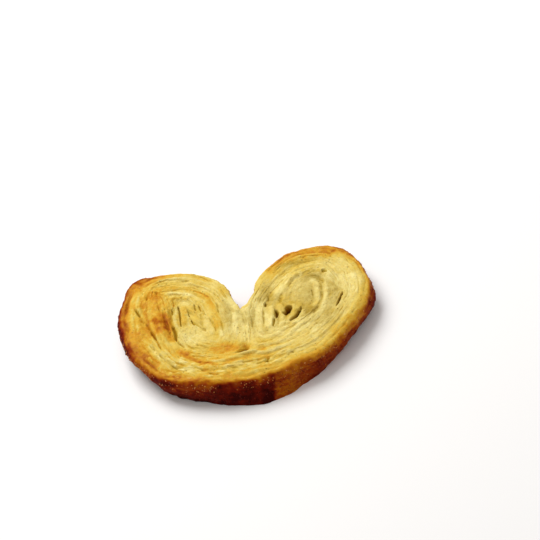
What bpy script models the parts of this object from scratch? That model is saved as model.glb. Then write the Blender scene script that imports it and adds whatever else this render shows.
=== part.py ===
"""A palmier: one baked slice of a double roll of puff pastry, lying flat on its lower face.

Each lobe is one pastry sheet that runs round the outline, down the seam and on into the core,
turn inside turn, so every layer line follows the same spiral. X runs across both lobes,
Y points to the notch and Z is up.
"""

import bmesh
import bpy
import math
import numpy as np

MM = 0.001

FACE_LEVEL = 11.4
ORIGIN_X = 1.05
ORIGIN_Y = -0.03
LAYERS = 7
STEPS_ROUND = 58
STEPS_TO_NOTCH = 50
ROWS = 2 * LAYERS
TURNS = 2.8
SPINE_SHARE = 0.90

RIDGE_DEPTH = 1.1
LAYER_UNEVEN = 0.75
FOLD_SWELL = 0.5
SEAM_GROOVE = 1.1
RIM_DROP_FRONT = 2.4
RIM_DROP_BACK = 1.2
RIM_REACH = 2.8
WAVER = 0.5
ROUNDING = 14

WALL_LEVELS = (0.85, 0.62, 0.40, 0.20, 0.06)
WALL_ROUGHNESS = 0.35
BASE_INSET = 2.6
BASE_INSET_LEFT = 3.6
BASE_INSET_RIGHT = 1.6
TIP_OUTSET = 5.8
BULGE = 1.5

# Each lobe's edge from the middle of the lower edge round to the notch: x, y, width of the outer fold
LEFT_EDGE = (
    (0.0, -36.6, 16.4), (-11.0, -36.2, 16.0), (-21.0, -33.9, 15.5), (-31.5, -29.3, 15.6),
    (-41.0, -21.5, 17.0), (-47.7, -10.4, 18.6), (-52.3, 2.6, 21.0), (-53.8, 15.0, 21.5),
    (-51.2, 28.0, 20.0), (-45.4, 38.1, 17.0), (-35.0, 39.1, 13.0), (-22.0, 36.5, 10.8),
    (-11.8, 30.6, 9.6), (-5.2, 20.8, 8.6), (-2.8, 13.0, 8.0), (-0.9, 7.6, 7.8),
)
RIGHT_EDGE = (
    (0.0, -36.6, 16.4), (11.0, -35.2, 15.2), (21.0, -32.2, 13.6), (30.0, -27.8, 12.6),
    (38.5, -21.0, 12.2), (46.4, -12.2, 12.0), (52.3, -3.4, 12.2), (55.3, 6.4, 12.6),
    (53.8, 17.5, 12.4), (49.8, 28.8, 13.2), (42.0, 36.8, 14.0), (31.5, 38.3, 13.6),
    (20.4, 36.3, 12.6), (11.2, 29.9, 11.0), (6.3, 20.9, 9.4), (4.7, 13.7, 8.6), (-0.9, 7.6, 7.8),
)
SEAM = ((-0.9, 7.6), (0.3, 0.0), (0.8, -10.0), (0.8, -20.0))
SEAM_FOLD = 8.0
LEFT_CORE = ((-17.0, -4.5), (-22.5, 14.5))
RIGHT_CORE = ((24.0, 0.5), (28.6, 15.5))

# Splits and pits between the layers: x, y, length, width, direction in degrees, depth
OPENINGS = (
    (-1.6, -19.0, 5.0, 3.4, 10, 3.4),
    (19.0, 0.6, 4.2, 3.2, 90, 4.6),
    (13.4, -1.6, 8.0, 2.6, 95, 2.6),
    (22.4, -3.2, 8.0, 2.2, 58, 2.6),
    (-28.9, 2.5, 19.0, 2.6, 94, 2.2),
    (-26.3, 8.5, 12.0, 2.0, 88, 1.7),
    (-21.8, 7.0, 12.0, 2.0, 104, 1.7),
    (-12.8, 0.0, 13.0, 1.9, 122, 1.4),
    (-38.8, 0.0, 9.0, 2.0, 108, 1.6),
    (-45.0, 15.0, 8.0, 2.0, 104, 1.3),
    (41.4, 1.8, 8.0, 1.9, 66, 1.9),
    (35.4, 19.6, 4.0, 3.0, 150, 1.6),
    (10.4, 5.4, 4.0, 2.4, 80, 1.8),
    (8.6, -27.4, 3.6, 2.0, 70, 1.6),
)

# Broad rises and hollows of the upper face: x, y, reach along x, reach along y, height
SWELLS = (
    (-34.0, 8.0, 4.5, 20.0, 0.8),
    (-9.0, -15.0, 6.0, 4.5, -0.9),
    (-20.0, 0.0, 9.0, 13.0, -0.5),
    (25.0, 12.0, 10.0, 11.0, -0.6),
    (5.0, -21.5, 12.0, 1.6, 0.7),
    (-43.0, 36.0, 7.0, 5.0, -0.5),
)


def clear_scene():
    """Removes every object that the file opens with."""
    for thing in list(bpy.data.objects):
        bpy.data.objects.remove(thing, do_unlink=True)


def smoothstep(low, high, value):
    """Rises from 0 at low to 1 at high."""
    t = np.clip((value - low) / (high - low), 0.0, 1.0)
    return t * t * (3.0 - 2.0 * t)


def soft_noise(x, y, seed):
    """Smooth noise between -1 and 1, with one cell to each unit of x and y."""
    lattice = np.random.default_rng(seed).uniform(-1.0, 1.0, (64, 64))
    x0 = np.floor(x).astype(int)
    y0 = np.floor(y).astype(int)
    fx = smoothstep(0.0, 1.0, x - x0)
    fy = smoothstep(0.0, 1.0, y - y0)
    low = lattice[x0 % 64, y0 % 64] * (1.0 - fx) + lattice[(x0 + 1) % 64, y0 % 64] * fx
    high = lattice[x0 % 64, (y0 + 1) % 64] * (1.0 - fx) + lattice[(x0 + 1) % 64, (y0 + 1) % 64] * fx
    return low * (1.0 - fy) + high * fy


def spline(points, count):
    """A smooth curve through the points, read at count + 1 places evenly along it."""
    points = np.asarray(points, float)
    knots = np.concatenate([[0.0], np.cumsum(np.linalg.norm(np.diff(points[:, :2], axis=0), axis=1))])
    gaps = np.diff(knots)
    size = len(points)
    matrix = np.eye(size)
    right = np.zeros_like(points)
    for i in range(1, size - 1):
        matrix[i, i - 1:i + 2] = (gaps[i - 1], 2.0 * (gaps[i - 1] + gaps[i]), gaps[i])
        right[i] = 6.0 * ((points[i + 1] - points[i]) / gaps[i] - (points[i] - points[i - 1]) / gaps[i - 1])
    bends = np.linalg.solve(matrix, right)

    def read(place):
        i = np.clip(np.searchsorted(knots, place, side="right") - 1, 0, size - 2)
        a = ((knots[i + 1] - place) / gaps[i])[:, None]
        b = 1.0 - a
        curve = ((a ** 3 - a) * bends[i] + (b ** 3 - b) * bends[i + 1]) * (gaps[i] ** 2)[:, None] / 6.0
        return a * points[i] + b * points[i + 1] + curve

    fine = read(np.linspace(0.0, knots[-1], 1200))
    travelled = np.concatenate([[0.0], np.cumsum(np.linalg.norm(np.diff(fine[:, :2], axis=0), axis=1))])
    wanted = np.linspace(0.0, travelled[-1], count + 1)
    return np.column_stack([np.interp(wanted, travelled, fine[:, k]) for k in range(fine.shape[1])])


def relax(values, passes):
    """Smooths a run of points and keeps both its ends."""
    values = values.copy()
    for _ in range(passes):
        values[1:-1] = 0.25 * values[:-2] + 0.5 * values[1:-1] + 0.25 * values[2:]
    return values


def turn_share(depth):
    """How far from the outer fold to the core a layer line has come after so many turns."""
    return SPINE_SHARE * np.clip((depth - 1.0) / (TURNS - 1.0), 0.0, 1.0)


class Lobe:
    """One lobe: a sheet that winds round the edge, down the seam and on into the core."""

    def __init__(self, edge, core, side, rows):
        around = spline(edge, STEPS_TO_NOTCH)
        down = spline(SEAM, STEPS_ROUND - STEPS_TO_NOTCH)
        self.side = side
        self.share = np.linspace(0.0, 1.0, STEPS_ROUND + 1)
        self.edge = np.vstack([around[:, :2], down[1:]])
        fold = np.concatenate([around[:, 2], np.full(len(down) - 1, SEAM_FOLD)])
        along = relax(np.gradient(self.edge, axis=0), 4)
        along /= np.linalg.norm(along, axis=1)[:, None]
        self.inward = np.column_stack([along[:, 1], -along[:, 0]]) * -side
        bottom = np.array(core[0])
        top = np.array(core[1])
        start = self.edge[-1]
        end = start + (bottom - start) * turn_share(np.array(2.0))
        inner = relax(self.edge + self.inward * fold[:, None], 10)
        inner += (start - inner[0]) * (1.0 - smoothstep(0.0, 0.10, self.share))[:, None]
        inner += (end - inner[-1]) * smoothstep(0.86, 1.0, self.share)[:, None]
        self.inner = inner
        self.rounder = relax(inner, 60)
        farthest = self.share[np.argmax((inner - bottom) @ (top - bottom))]
        swing = np.interp(self.share, (0.0, farthest, 1.0), (0.0, 0.5, 1.0))
        reach = 0.5 - 0.5 * np.cos(2.0 * math.pi * swing)
        self.core = bottom + reach[:, None] * (top - bottom)
        self.points = self.wind(rows)

    def place(self, step, depth):
        """The point of the layer line of the given depth, in turns, at one step round the lobe."""
        share = self.share[step]
        if depth <= 1.0 + share:
            return self.edge[step] + (self.inner[step] - self.edge[step]) * (depth - share)
        passed = 1.0 - (1.0 - turn_share(depth)) / (1.0 - turn_share(1.0 + share))
        outer = self.inner[step] + (self.rounder[step] - self.inner[step]) * smoothstep(0.0, 0.5, passed)
        return outer + (self.core[step] - outer) * passed

    def wind(self, rows):
        """The sheet's points by step along the spiral and by row, with its turns rounded off."""
        steps = math.ceil(TURNS) * STEPS_ROUND
        points = np.zeros((steps + 1, ROWS + 1, 2))
        pull = np.zeros((steps + 1, ROWS + 1, 1))
        for i in range(steps + 1):
            turn, step = divmod(i, STEPS_ROUND)
            for j in range(ROWS + 1):
                depth = i / STEPS_ROUND + rows[j]
                points[i, j] = self.place(step, min(depth, TURNS))
                pull[i, j] = smoothstep(0.0, 0.35, rows[j] + turn) * (1.0 - smoothstep(TURNS - 0.5, TURNS, depth))
        pull[0] = 0.0
        pull[-1] = 0.0
        pull[STEPS_ROUND, 0] = 0.0
        for _ in range(ROUNDING):
            mean = 0.5 * (np.roll(points, 1, axis=0) + np.roll(points, -1, axis=0))
            points += 0.5 * pull * (mean - points)
            points[:-STEPS_ROUND, ROWS] = points[STEPS_ROUND:, 0]
        return points


def row_places():
    """Places of the crests and grooves across one fold, with layers of uneven width."""
    random = np.random.default_rng(5)
    widths = np.repeat(1.0 + 0.28 * random.uniform(-1.0, 1.0, LAYERS), 2)
    widths *= np.tile((1.1, 0.9), LAYERS)
    return np.concatenate([[0.0], np.cumsum(widths)]) / widths.sum()


def layer_rise(travelled, layer, seed):
    """Unevenness of one layer at a place along the spiral."""
    return float(soft_noise(np.array(travelled * 11.0), np.array(layer * 1.0), seed))


def height(x, y, row, travelled, depth, from_edge, edge_drop):
    """Height of the upper face: ridges along the layers, uneven swells, splits and the rounded rim."""
    fine = 1.0 if row % 2 == 1 else 0.0
    paired = (0.0, 0.6, 1.0, 0.6)[row % 4]
    crest = fine + (paired - fine) * float(smoothstep(1.2, 1.8, depth))
    layer = row // 2
    ridge = RIDGE_DEPTH * (1.0 + 0.5 * layer_rise(travelled, layer, 11)) * (crest - 0.5)
    uneven = layer_rise(travelled, layer, 12)
    if row % 2 == 0:
        uneven = 0.5 * (uneven + layer_rise(travelled, layer - 1, 12))
    across = min(1.0, max(0.0, depth - travelled))
    z = FACE_LEVEL + ridge + (LAYER_UNEVEN * uneven + FOLD_SWELL) * math.sin(math.pi * across)
    if depth >= TURNS:
        z = FACE_LEVEL
    z += 0.4 * float(soft_noise(np.array(x / 11.0), np.array(y / 11.0), 13))
    for cx, cy, rx, ry, rise in SWELLS:
        z += rise * math.exp(-((x - cx) / rx) ** 2 - ((y - cy) / ry) ** 2)
    for cx, cy, length, width, degrees, drop in OPENINGS:
        angle = math.radians(degrees)
        run = (x - cx) * math.cos(angle) + (y - cy) * math.sin(angle)
        off = (y - cy) * math.cos(angle) - (x - cx) * math.sin(angle)
        z -= drop * math.exp(-(2.0 * run / length) ** 4 - (1.6 * off / width) ** 2)
    if edge_drop is None:
        z -= SEAM_GROOVE * math.exp(-(from_edge / 1.2) ** 2)
    elif from_edge < RIM_REACH:
        z -= edge_drop * (1.0 - math.sqrt(1.0 - (1.0 - from_edge / RIM_REACH) ** 2))
    return z


def waver(points):
    """Lets the lines wander a little, as rolled dough does."""
    x = points[:, 0]
    y = points[:, 1]
    shift = np.column_stack([soft_noise(x / 7.0, y / 9.0, 21), soft_noise(x / 9.0, y / 7.0, 22)])
    return points + WAVER * shift


def blot(x, y, place):
    """A soft spot of strength 1 at the middle of a place: x, y, reach along x, reach along y."""
    return np.exp(-((x - place[0]) / place[2]) ** 2 - ((y - place[1]) / place[3]) ** 2)


def wall_shift(x, y, level):
    """How far the wall stands inside the upper edge, at a level from 0 at the foot to 1."""
    left = blot(x, y, (-45.0, -13.5, 13.0, 13.0))
    front = blot(x, y, (6.0, -35.0, 20.0, 14.0))
    inset = BASE_INSET + BASE_INSET_RIGHT * smoothstep(30.0, 50.0, x) + BASE_INSET_LEFT * left - TIP_OUTSET * front
    lean = np.clip(1.0 - level / (0.8 + 0.25 * left), 0.0, 1.0) ** (1.6 - 0.4 * left - 0.5 * front)
    return inset * lean - BULGE * blot(x, y, (55.0, 4.5, 5.0, 6.0)) * math.sin(math.pi * level)


def build_palmier():
    """Builds the whole slice as one closed mesh."""
    rows = row_places()
    lobes = (Lobe(LEFT_EDGE, LEFT_CORE, -1, rows), Lobe(RIGHT_EDGE, RIGHT_CORE, 1, rows))
    mesh = bmesh.new()
    known = {}

    def vertex(lobe, travelled, row):
        if row == ROWS:
            travelled += STEPS_ROUND
            row = 0
        turn, step = divmod(travelled, STEPS_ROUND)
        depth = travelled / STEPS_ROUND + rows[row]
        on_edge = row == 0 and travelled <= STEPS_ROUND
        if travelled == 0:
            key = ("middle", row)
        elif on_edge and travelled >= STEPS_TO_NOTCH:
            key = ("seam", travelled)
        elif depth >= TURNS:
            key = ("core", lobe.side, step)
        else:
            key = (lobe.side, travelled, row)
        if key not in known:
            point = lobe.place(step, TURNS) if key[0] == "core" else lobe.points[travelled, row]
            x, y = waver(np.array([point]))[0]
            fold = np.linalg.norm(lobe.inner[step] - lobe.edge[step])
            from_edge = 0.0 if on_edge else rows[row] * fold + 99.0 * turn
            drop = RIM_DROP_FRONT + (RIM_DROP_BACK - RIM_DROP_FRONT) * float(
                smoothstep(-0.3, 0.3, -lobe.inward[step, 1]))
            if turn > 0 or step > STEPS_TO_NOTCH:
                drop = None
            z = height(x, y, row, travelled / STEPS_ROUND, min(depth, TURNS), from_edge, drop)
            known[key] = mesh.verts.new(((x - ORIGIN_X) * MM, (y - ORIGIN_Y) * MM, z * MM))
        return known[key]

    def add_face(corners, side):
        ring = []
        for corner in corners:
            if corner not in ring:
                ring.append(corner)
        if len(ring) > 2:
            if side > 0:
                ring.reverse()
            mesh.faces.new(ring)

    for lobe in lobes:
        for travelled in range(math.ceil(TURNS) * STEPS_ROUND):
            for row in range(ROWS):
                a = vertex(lobe, travelled, row)
                b = vertex(lobe, travelled, row + 1)
                c = vertex(lobe, travelled + 1, row + 1)
                d = vertex(lobe, travelled + 1, row)
                add_face((a, b, c, d), -lobe.side)
        add_face([known[("core", lobe.side, step)] for step in range(STEPS_ROUND)], lobe.side)

    left = [vertex(lobes[0], step, 0) for step in range(STEPS_TO_NOTCH + 1)]
    right = [vertex(lobes[1], step, 0) for step in range(1, STEPS_TO_NOTCH)]
    upper = left + right[::-1]
    top = np.array([v.co[:] for v in upper]) / MM + np.array([ORIGIN_X, ORIGIN_Y, 0.0])
    along = np.roll(top[:, :2], -1, axis=0) - np.roll(top[:, :2], 1, axis=0)
    along = 0.25 * np.roll(along, 1, axis=0) + 0.5 * along + 0.25 * np.roll(along, -1, axis=0)
    along /= np.linalg.norm(along, axis=1)[:, None]
    inward = np.column_stack([along[:, 1], -along[:, 0]])
    for level in WALL_LEVELS + (0.0,):
        rough = WALL_ROUGHNESS * soft_noise(top[:, 0] / 6.0 + 9.0 * level, top[:, 1] / 6.0, 31)
        shift = wall_shift(top[:, 0], top[:, 1], level) + rough - 0.2
        ring = top[:, :2] + inward * shift[:, None]
        z = level * top[:, 2] * MM
        lower = [mesh.verts.new(((x - ORIGIN_X) * MM, (y - ORIGIN_Y) * MM, h)) for (x, y), h in zip(ring, z)]
        for i, vert in enumerate(upper):
            j = (i + 1) % len(upper)
            mesh.faces.new((vert, upper[j], lower[j], lower[i]))
        upper = lower
    mesh.faces.new(upper)

    bmesh.ops.triangulate(mesh, faces=[face for face in mesh.faces if len(face.verts) == 4])
    bmesh.ops.recalc_face_normals(mesh, faces=mesh.faces)
    data = bpy.data.meshes.new("palmier")
    mesh.to_mesh(data)
    mesh.free()
    return data


def pastry_material():
    """Golden baked puff pastry."""
    material = bpy.data.materials.new("golden_pastry")
    material.use_nodes = True
    shader = next(node for node in material.node_tree.nodes if node.type == "BSDF_PRINCIPLED")
    shader.inputs["Base Color"].default_value = (0.72, 0.42, 0.11, 1.0)
    shader.inputs["Roughness"].default_value = 0.62
    shader.inputs["Metallic"].default_value = 0.0
    return material


def main():
    """Makes the palmier."""
    clear_scene()
    data = build_palmier()
    data.materials.append(pastry_material())
    data.shade_smooth()
    data.set_sharp_from_angle(angle=math.radians(50.0))
    palmier = bpy.data.objects.new("palmier", data)
    bpy.context.scene.collection.objects.link(palmier)


main()
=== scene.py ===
"""Dresses the palmier: its layered pastry, the sugared crust round its side, and a pale studio."""

import bmesh
import bpy
import math
import numpy as np
from bpy.props import FloatProperty, FloatVectorProperty, IntProperty, PointerProperty
from mathutils import Euler, Matrix, Vector


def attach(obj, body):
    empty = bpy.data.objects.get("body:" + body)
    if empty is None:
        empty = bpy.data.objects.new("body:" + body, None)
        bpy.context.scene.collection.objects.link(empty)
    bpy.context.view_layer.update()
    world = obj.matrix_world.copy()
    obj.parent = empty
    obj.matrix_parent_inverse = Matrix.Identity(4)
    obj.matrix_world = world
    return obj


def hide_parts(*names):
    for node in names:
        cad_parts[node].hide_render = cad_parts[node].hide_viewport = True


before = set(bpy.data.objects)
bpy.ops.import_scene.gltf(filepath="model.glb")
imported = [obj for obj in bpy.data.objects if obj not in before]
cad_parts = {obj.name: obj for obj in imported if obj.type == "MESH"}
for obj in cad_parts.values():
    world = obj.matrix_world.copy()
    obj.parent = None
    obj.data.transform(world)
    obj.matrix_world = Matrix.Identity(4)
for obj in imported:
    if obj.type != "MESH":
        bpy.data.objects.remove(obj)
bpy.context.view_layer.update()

bl_info = {
    "name": "Palmier",
    "version": (1, 0, 0),
    "blender": (4, 5, 0),
    "location": "View3D > Sidebar > Palmier",
    "description": "Makes a baked palmier with layered pastry and a sugared crust",
    "category": "Add Mesh",
}

MM = 0.001

# The slice, in millimetres: X across both lobes, Y to the notch, Z up
ORIGIN_X = 1.05
ORIGIN_Y = -0.03
FACE_LEVEL = 11.4

# The sheet of a lobe: steps in a turn and up to the notch, rows in a layer, and every how many rows the
# underside takes one. It winds so many turns, of which the inner ones share the way to the core
STEPS_ROUND = 212
STEPS_TO_NOTCH = 183
ROWS_IN_LAYER = 10
UNDER_STEP = 10
TURNS = 2.8
SPINE_SHARE = 0.90
ROUNDING_PASSES = 120
CURVE_DETAIL = 2400
FAR_INSIDE = 99.0

# Where the parts lie in the pattern of streaks, which runs by travel and by lamina
TRAVEL_IN_TURN = 180.0
RIGHT_LOBE_TRAVEL = 700.0
WALL_LAMINA = 30.0
LAMINAE_IN_WALL = 3.0
UNDER_LAMINA = 60.0

# The wall: how high its rings lie as a share of the edge's height, and where its dark part ends
WALL_LEVELS = (0.93, 0.86, 0.78, 0.70, 0.62, 0.54, 0.46, 0.38, 0.30, 0.23, 0.16, 0.10, 0.05, 0.02)
DARK_WALL_END = (10.2, 11.4)
DARK_WALL_LEAN = 3.2

# Above which height a strand is plain or bold, and above which depth a cut is plain, deep or a hole
PLAIN_STRAND = 0.29
BOLD_STRAND = 0.7
PLAIN_CUT = 2.0
DEEP_CUT = 3.0
HOLE = 4.0

# Sugar grains: how high they reach, how deep a groove may be under them, and above which height what
# share of them is painted pale as glints, a painted highlight
SUGAR_TOP = 10.6
SUGAR_RECESS = 0.06
GLINT_LEVEL = 7.6
GLINT_SHARE = 0.30

# The studio, in metres: the camera's aim, then the direction, distance and width of each light
CAMERA_AIM = (0.011203, 0.041309, 0.0)
KEY_LIGHT = ((-0.42, 0.61, 1.15), 0.85, 0.55)
FILL_LIGHT = ((0.35, -0.85, 0.75), 0.95, 0.7)
SKY_COLOUR = (1.0, 0.955, 0.91, 1.0)
FLOOR_REACH = 3.0

# Places of the rim where face and wall change together: x, y, reach along x, reach along y
LOW_LEFT = (-36.0, -26.0, 9.0, 8.0)
RIGHT_BUMP = (56.0, 4.0, 6.0, 9.0)

# Each lobe's edge from the middle of the lower edge round to the notch: x, y, width of the outer fold
LEFT_EDGE = (
    (0.0, -36.6, 16.4), (-11.0, -36.2, 16.0), (-21.0, -33.9, 15.5), (-31.5, -29.3, 15.6),
    (-41.0, -21.5, 17.0), (-47.7, -10.4, 18.6), (-52.3, 2.6, 21.0), (-53.8, 15.0, 21.5),
    (-51.2, 28.0, 20.0), (-45.4, 38.1, 17.0), (-35.0, 39.1, 13.0), (-22.0, 36.5, 10.8),
    (-11.8, 30.6, 9.6), (-5.2, 20.8, 8.6), (-2.8, 13.0, 8.0), (-0.9, 7.6, 7.8),
)
RIGHT_EDGE = (
    (0.0, -36.6, 16.4), (11.0, -35.2, 15.2), (21.0, -32.2, 13.6), (30.0, -27.8, 12.6),
    (38.5, -21.0, 12.2), (46.4, -12.2, 12.0), (52.3, -3.4, 12.2), (55.3, 6.4, 12.6),
    (53.8, 17.5, 12.4), (49.8, 28.8, 13.2), (42.0, 36.8, 14.0), (31.5, 38.3, 13.6),
    (20.4, 36.3, 12.6), (11.2, 29.9, 11.0), (6.3, 20.9, 9.4), (4.7, 13.7, 8.6), (-0.9, 7.6, 7.8),
)
SEAM = ((-0.9, 7.6), (0.3, 0.0), (0.8, -10.0), (0.8, -20.0))
SEAM_FOLD = 8.0
LEFT_CORE = ((-17.0, -4.5), (-22.5, 14.5))
RIGHT_CORE = ((24.0, 0.5), (28.6, 15.5))

# Broad rises and hollows of the upper face: x, y, reach along x, reach along y, height
SWELLS = (
    (-34.0, 8.0, 4.5, 20.0, 0.8),
    (-9.0, -15.0, 6.0, 4.5, -0.9),
    (-20.0, 0.0, 9.0, 13.0, -0.5),
    (25.0, 12.0, 10.0, 11.0, -0.6),
    (5.0, -21.5, 12.0, 1.6, 0.7),
    (-43.0, 36.0, 7.0, 5.0, -0.5),
)

# Where strands of crumpled dough take the place of even layers: x, y, reach along x, reach along y
CRUMPLED_PLACES = (
    (-19.5, 3.0, 10.5, 13.0),
    (-6.5, -3.0, 7.5, 16.0),
    (-9.0, -14.6, 9.0, 4.6),
    (14.0, -0.5, 12.0, 9.5),
    (27.5, 9.0, 7.5, 10.0),
)

# Raised strands: height, browning, width, and the points that each runs through; where the height is below
# zero the strand is a trough, whose browning is partly painted shade
STRANDS = (
    (0.0, 0.05, 2.0, ((-48.4, 24.0), (-49.8, 14.0), (-50.0, 5.0), (-48.8, -2.0))),
    (0.3, -0.12, 2.6, ((-44.4, 30.0), (-46.4, 22.0), (-46.4, 12.0), (-45.6, 2.0))),
    (0.3, -0.12, 1.6, ((-43.2, 28.0), (-44.4, 21.0), (-43.0, 14.0), (-40.4, 7.4))),
    (-0.4, 0.12, 3.2, ((-41.4, 26.0), (-42.2, 18.5), (-41.2, 11.0), (-39.4, 4.0), (-37.0, -4.0))),
    (0.4, -0.06, 1.7, ((-39.7, 8.6), (-37.7, 2.0), (-35.6, -4.4))),
    (0.4, 0.13, 5.6, ((-38.0, 29.0), (-37.0, 20.0), (-35.2, 12.0), (-33.8, 4.0), (-31.4, -4.0))),
    (-0.2, 0.18, 3.2, ((-34.4, 13.4), (-33.0, 8.0), (-31.6, 2.0), (-30.4, -3.0), (-29.2, -7.4))),
    (0.0, 0.32, 2.5, ((-38.6, 10.4), (-36.6, 7.6), (-34.8, 4.2))),
    (0.3, -0.10, 1.7, ((-35.4, 8.4), (-34.1, 3.0), (-32.3, -1.8))),
    (0.5, -0.10, 1.8, ((-29.2, 15.8), (-28.2, 12.0), (-28.6, 8.0), (-28.4, 4.0), (-27.4, 1.0))),
    (0.3, 0.08, 1.4, ((-27.5, 10.0), (-27.3, 3.0))),
    (0.5, 0.10, 2.7, ((-24.6, 15.5), (-24.9, 9.0), (-24.5, 2.6))),
    (0.5, 0.04, 1.9, ((-21.4, 14.5), (-21.0, 9.0), (-19.3, 4.5), (-18.8, 1.0))),
    (0.4, 0.0, 1.5, ((-19.0, 14.0), (-18.7, 10.0), (-16.6, 6.0))),
    (0.3, -0.05, 1.4, ((-17.2, 14.5), (-16.4, 11.0), (-14.9, 6.4))),
    (0.3, 0.02, 1.7, ((-15.0, 13.0), (-13.8, 8.6), (-12.6, 3.4))),
    (0.4, -0.07, 2.5, ((-16.8, 4.6), (-14.8, 0.0), (-12.7, -6.6))),
    (0.5, 0.14, 3.2, ((-16.0, 20.5), (-13.2, 14.5), (-11.8, 8.0), (-10.9, 2.6), (-9.8, -4.4))),
    (0.4, -0.12, 1.8, ((-9.5, -4.6), (-9.1, -8.4))),
    (0.2, -0.03, 2.4, ((-6.6, 9.0), (-6.2, 1.0), (-6.0, -8.6))),
    (0.3, -0.05, 1.7, ((-3.4, 6.0), (-3.3, -1.0), (-3.0, -9.6))),
    (0.2, -0.04, 2.0, ((-22.4, -1.0), (-21.8, -8.4))),
    (0.2, -0.03, 2.2, ((-25.6, -1.5), (-24.4, -8.0))),
    (0.2, -0.03, 2.2, ((-18.2, -2.0), (-16.4, -9.0))),
    (0.4, 0.10, 2.0, ((-33.0, 27.5), (-26.0, 26.2), (-19.5, 22.6), (-14.5, 17.0))),
    (0.3, -0.08, 2.0, ((-34.0, 22.4), (-27.0, 22.8), (-20.6, 19.0))),
    (0.3, 0.10, 1.6, ((-31.0, 18.6), (-27.0, 19.6), (-22.5, 17.4))),
    (0.3, -0.06, 2.2, ((-38.0, 33.0), (-29.0, 32.8), (-20.0, 29.8), (-12.5, 24.0))),
    (0.6, -0.14, 2.8, ((-40.2, -5.4), (-37.4, -10.6), (-33.4, -16.2), (-28.4, -21.4))),
    (0.5, -0.12, 2.8, ((-31.2, -20.4), (-26.0, -24.6), (-20.5, -28.6), (-14.0, -31.8), (-7.6, -33.8))),
    (0.4, -0.12, 1.9, ((-36.0, -6.0), (-34.0, -11.0), (-30.4, -15.6), (-25.8, -19.8), (-21.0, -23.4),
                       (-15.6, -27.0))),
    (0.4, -0.08, 1.6, ((-24.2, -23.6), (-19.4, -27.0), (-15.0, -30.2))),
    (0.1, 0.22, 2.4, ((-29.2, -10.0), (-25.6, -14.4), (-21.6, -18.4), (-17.4, -21.8), (-13.4, -24.0),
                       (-10.6, -27.0))),
    (0.5, -0.14, 1.6, ((-20.4, -19.4), (-15.5, -21.8), (-10.6, -22.8), (-5.0, -22.5), (-1.6, -22.2),
                       (1.0, -21.7), (3.4, -21.6), (5.8, -22.6), (8.6, -23.0), (12.5, -22.3),
                       (17.0, -20.8), (22.0, -17.8))),
    (-0.2, 0.09, 3.0, ((-9.6, -24.6), (-3.0, -24.0), (3.0, -23.8), (8.0, -25.2), (13.5, -24.2))),
    (0.4, -0.10, 2.0, ((-9.6, -27.0), (-5.4, -26.4), (-1.0, -26.2))),
    (0.3, -0.05, 1.6, ((-6.6, -29.6), (0.0, -29.2), (8.0, -29.8), (16.0, -28.2))),
    (0.3, -0.05, 1.6, ((-4.4, -32.2), (4.0, -32.4), (12.0, -31.4))),
    (0.5, -0.08, 1.6, ((0.9, -3.0), (1.0, -10.0), (1.3, -17.4))),
    (-0.6, 0.12, 3.2, ((4.8, -20.2), (6.6, -20.7), (8.6, -20.3))),
    (0.5, -0.04, 2.0, ((2.2, -11.0), (4.6, -16.6), (9.6, -18.4), (15.6, -16.8), (21.4, -12.0), (26.4, -5.6))),
    (0.4, -0.04, 1.8, ((4.4, -9.6), (8.4, -13.6), (14.0, -12.6), (19.4, -8.4))),
    (0.9, -0.07, 2.4, ((12.3, 5.0), (12.5, 0.0), (12.0, -5.0), (11.8, -9.0))),
    (0.45, -0.04, 2.2, ((16.2, 5.6), (16.2, 0.0), (16.6, -4.0), (15.5, -9.4))),
    (0.5, -0.05, 2.1, ((21.8, 4.6), (21.7, 0.3), (20.9, -2.8), (18.8, -5.4), (17.8, -9.0))),
    (0.5, -0.03, 2.2, ((25.6, -0.4), (24.8, -3.6), (22.6, -6.6), (19.6, -9.2))),
    (0.3, 0.0, 3.0, ((7.4, 8.6), (7.2, 2.0), (6.6, -6.0), (7.6, -11.4))),
    (0.26, -0.03, 2.0, ((2.8, 6.0), (2.7, 0.0), (2.4, -6.4))),
    (0.3, -0.03, 1.8, ((10.4, 3.0), (10.2, -3.0), (9.6, -9.0))),
    (0.8, -0.05, 3.8, ((14.6, 6.4), (15.6, 10.5), (17.6, 15.0), (20.0, 19.0), (24.0, 23.0), (29.0, 24.9),
                       (33.6, 24.6), (36.8, 21.8), (38.0, 17.4), (37.8, 12.0))),
    (0.5, 0.10, 1.4, ((19.8, 14.5), (21.0, 17.5), (23.0, 20.3), (26.5, 21.9))),
    (0.3, 0.0, 1.9, ((17.8, 6.0), (18.0, 10.0), (20.4, 14.0), (23.4, 17.0))),
    (0.35, -0.03, 2.6, ((28.0, 17.4), (31.0, 15.6), (32.3, 11.0), (32.2, 6.0), (31.4, 2.0), (29.6, -1.4))),
    (0.15, -0.04, 3.6, ((24.4, 14.0), (27.2, 12.6), (28.2, 8.0), (27.8, 3.4))),
    (0.2, 0.0, 1.8, ((22.0, 12.0), (23.6, 7.4), (24.2, 3.4))),
    (0.3, -0.04, 2.0, ((35.6, 15.0), (35.8, 8.6), (35.0, 2.0), (33.0, -3.4), (29.2, -8.4))),
)

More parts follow.
